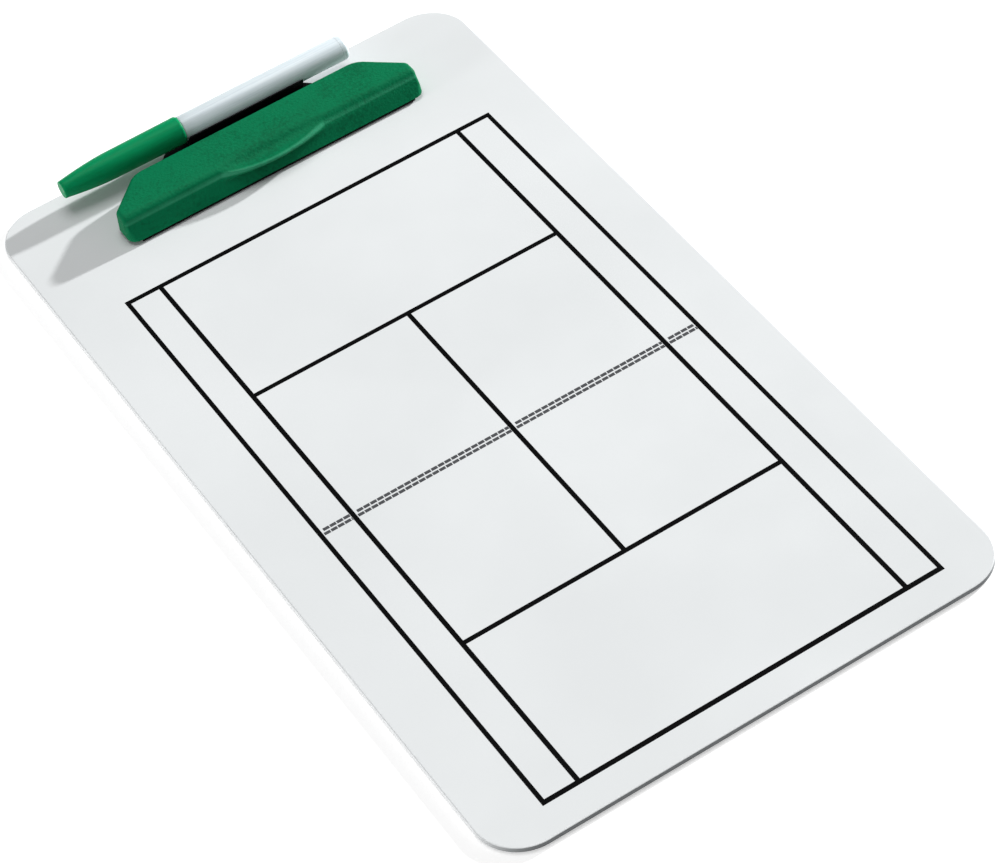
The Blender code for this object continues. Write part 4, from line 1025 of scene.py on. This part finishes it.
def build_plug():
    """End plug: a spigot in the barrel and a domed, slightly dished end."""
    end, dome = PLUG_HIGH.x, 1.8 * MM
    seam = BARREL_HIGH.x + 0.04 * MM
    profile = [(PLUG_LOW.x, 0.0), (PLUG_LOW.x, SPIGOT_RADIUS), (seam, SPIGOT_RADIUS),
               (seam, BARREL_RADIUS - SEAM_EASE), (seam + SEAM_EASE, BARREL_RADIUS)]
    profile += arc((end - dome, BARREL_RADIUS - dome), dome, math.pi / 2, 0.0, 14)
    profile += [(end, 2.4 * MM), (end - 0.3 * MM, 2.1 * MM), (end - 0.35 * MM, 0.0)]
    marker_piece("marker_plug_end", profile, WHITE_TUBE, "marker", ("marker_end_plug",))


def build_section():
    """Front section that narrows to the nib, seen when the cap is off."""
    low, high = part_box("marker_section")
    hole, collar, mouth = NIB_RADIUS + 0.3 * MM, NECK_RADIUS - 0.3 * MM, 2.6 * MM
    rear = high.x - 7.0 * MM
    shoulder = rear - 4.2 * MM
    cone = low.x + 3.2 * MM
    profile = [(high.x, hole), (high.x, SPIGOT_RADIUS), (rear, SPIGOT_RADIUS), (rear, collar),
               (shoulder + 0.4 * MM, collar)]
    profile += [(shoulder + (cone - shoulder) * share, collar - (collar - mouth) * share ** 1.15)
                for share in (step / 8 for step in range(1, 8))]
    profile += [(cone, mouth), (low.x + 0.3 * MM, mouth), (low.x, mouth - 0.2 * MM), (low.x, hole)]
    marker_piece("marker_front_section", profile, SECTION, "marker",
                 ("marker_section",), 64)


def build_nib():
    """Felt nib with a bullet tip."""
    low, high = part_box("marker_nib")
    profile = [(low.x, 0.0)]
    profile += [(low.x + 2 * NIB_RADIUS * (1 - math.cos(a)), NIB_RADIUS * math.sin(a))
                for a in (math.pi / 2 * step / 12 for step in range(1, 13))]
    profile += [(high.x, NIB_RADIUS), (high.x, 0.0)]
    marker_piece("marker_felt_nib", profile, FELT, "marker", ("marker_nib",), 48)


build_panel()
build_court()
build_net()
build_jaw()
build_jaw_ribs()
build_base()
build_spring("spring_left", -1)
build_spring("spring_right", 1)
build_cap()
build_barrel()
build_plug()
build_section()
build_nib()

for node, material in {"jaw_grip": RUBBER, "hinge_pin": PLATED, "rivet_left": PLATED,
                       "rivet_right": PLATED, "rivet_washer_left": PLATED,
                       "rivet_washer_right": PLATED, "marker_reservoir": FIBRE,
                       "marker_cap_liner": LINER}.items():
    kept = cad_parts[node]
    for slot_index in range(len(kept.material_slots)):
        kept.material_slots[slot_index].material = material


# Studio

# Strength of the even room, watts of the three lamps, the floor's own light, half its side and
# its distance below the board
ROOM = 0.24
OVERHEAD = 18.2
KEY = 245.0
LEFT = 46.0
FLOOR_GLOW = 0.42
FLOOR_HALF = 6.0
FLOOR_GAP = 0.2 * MM

# The photograph's camera, found from the board's edges and corner rounds
PHOTO_WIDTH = 1000.0
FOCAL_PIXELS = 3632.27
SENSOR_WIDTH = 36.0
CAMERA_PLACE = (-0.406496, -0.916033, 1.054192)
CAMERA_DEGREES = (42.3304, 7.1455, -32.2111)


def build_floor():
    """Plain pale floor that just reaches white, so that it keeps the soft shadow."""
    bm = bmesh.new()
    bmesh.ops.create_grid(bm, x_segments=1, y_segments=1, size=FLOOR_HALF)
    bmesh.ops.translate(bm, verts=bm.verts, vec=UP * -FLOOR_GAP)
    material, shader = new_material("Pale studio floor")
    rays = add(material, "LightPath")
    direct = add(material, "Math", {0: (rays, "Is Camera Ray"), 1: (rays, "Is Glossy Ray")},
                 operation="ADD")
    seen = add(material, "Math", {0: (direct, "Value"), 1: (rays, "Is Transmission Ray")},
               operation="ADD", use_clamp=True)
    lift = add(material, "Math", {0: (seen, "Value")}, {1: FLOOR_GLOW}, operation="MULTIPLY")
    link(material, lift, "Value", shader, "Emission Strength")
    shader.inputs["Emission Color"].default_value = (1.0, 1.0, 1.0, 1.0)
    shader.inputs["Base Color"].default_value = (0.85, 0.85, 0.85, 1.0)
    shader.inputs["Roughness"].default_value = 1.0
    shader.inputs["Specular IOR Level"].default_value = 0.0
    floor = make_piece("studio_floor", bm, material, None)


def lamp(name, target, direction, distance, size, energy):
    """A round soft light aimed at a point."""
    light = bpy.data.lights.new(name, "AREA")
    light.shape = "DISK"
    light.size = size
    light.energy = energy
    target = Vector(target)
    holder = bpy.data.objects.new(name, light)
    holder.location = target + Vector(direction).normalized() * distance
    holder.rotation_mode = "QUATERNION"
    holder.rotation_quaternion = (holder.location - target).to_track_quat("Z", "Y")
    bpy.context.scene.collection.objects.link(holder)


def build_lights():
    """An even room, a wide soft light above and behind, a small one low right, a weak one left."""
    world = bpy.data.worlds.new("studio")
    bpy.context.scene.world = world
    world.use_nodes = True
    background = world.node_tree.nodes["Background"]
    background.inputs["Color"].default_value = (1.0, 1.0, 1.0, 1.0)
    background.inputs["Strength"].default_value = ROOM
    lamp("overhead", target=(0.0, 0.05, 0.0), direction=(0.05, 0.25, 1.0),
         distance=2.2, size=1.4, energy=OVERHEAD)
    lamp("low right", target=(0.0, 0.165, 0.0), direction=(0.943, 0.137, 0.304),
         distance=4.0, size=0.18, energy=KEY)
    lamp("wide left", target=(-0.05, 0.0, 0.0), direction=(-0.99, 0.05, 0.12),
         distance=3.0, size=1.2, energy=LEFT)


def build_camera():
    """Camera at the photograph's viewing angle, for a frame of 1000 by 863."""
    data = bpy.data.cameras.new("camera")
    data.sensor_width = SENSOR_WIDTH
    data.lens = FOCAL_PIXELS * SENSOR_WIDTH / PHOTO_WIDTH
    data.clip_start = 0.05
    data.clip_end = 50.0
    camera = bpy.data.objects.new("camera", data)
    camera.location = CAMERA_PLACE
    camera.rotation_euler = [math.radians(turn) for turn in CAMERA_DEGREES]
    bpy.context.scene.collection.objects.link(camera)
    bpy.context.scene.camera = camera


build_floor()
build_lights()
build_camera()
bpy.context.scene.view_settings.view_transform = "Standard"
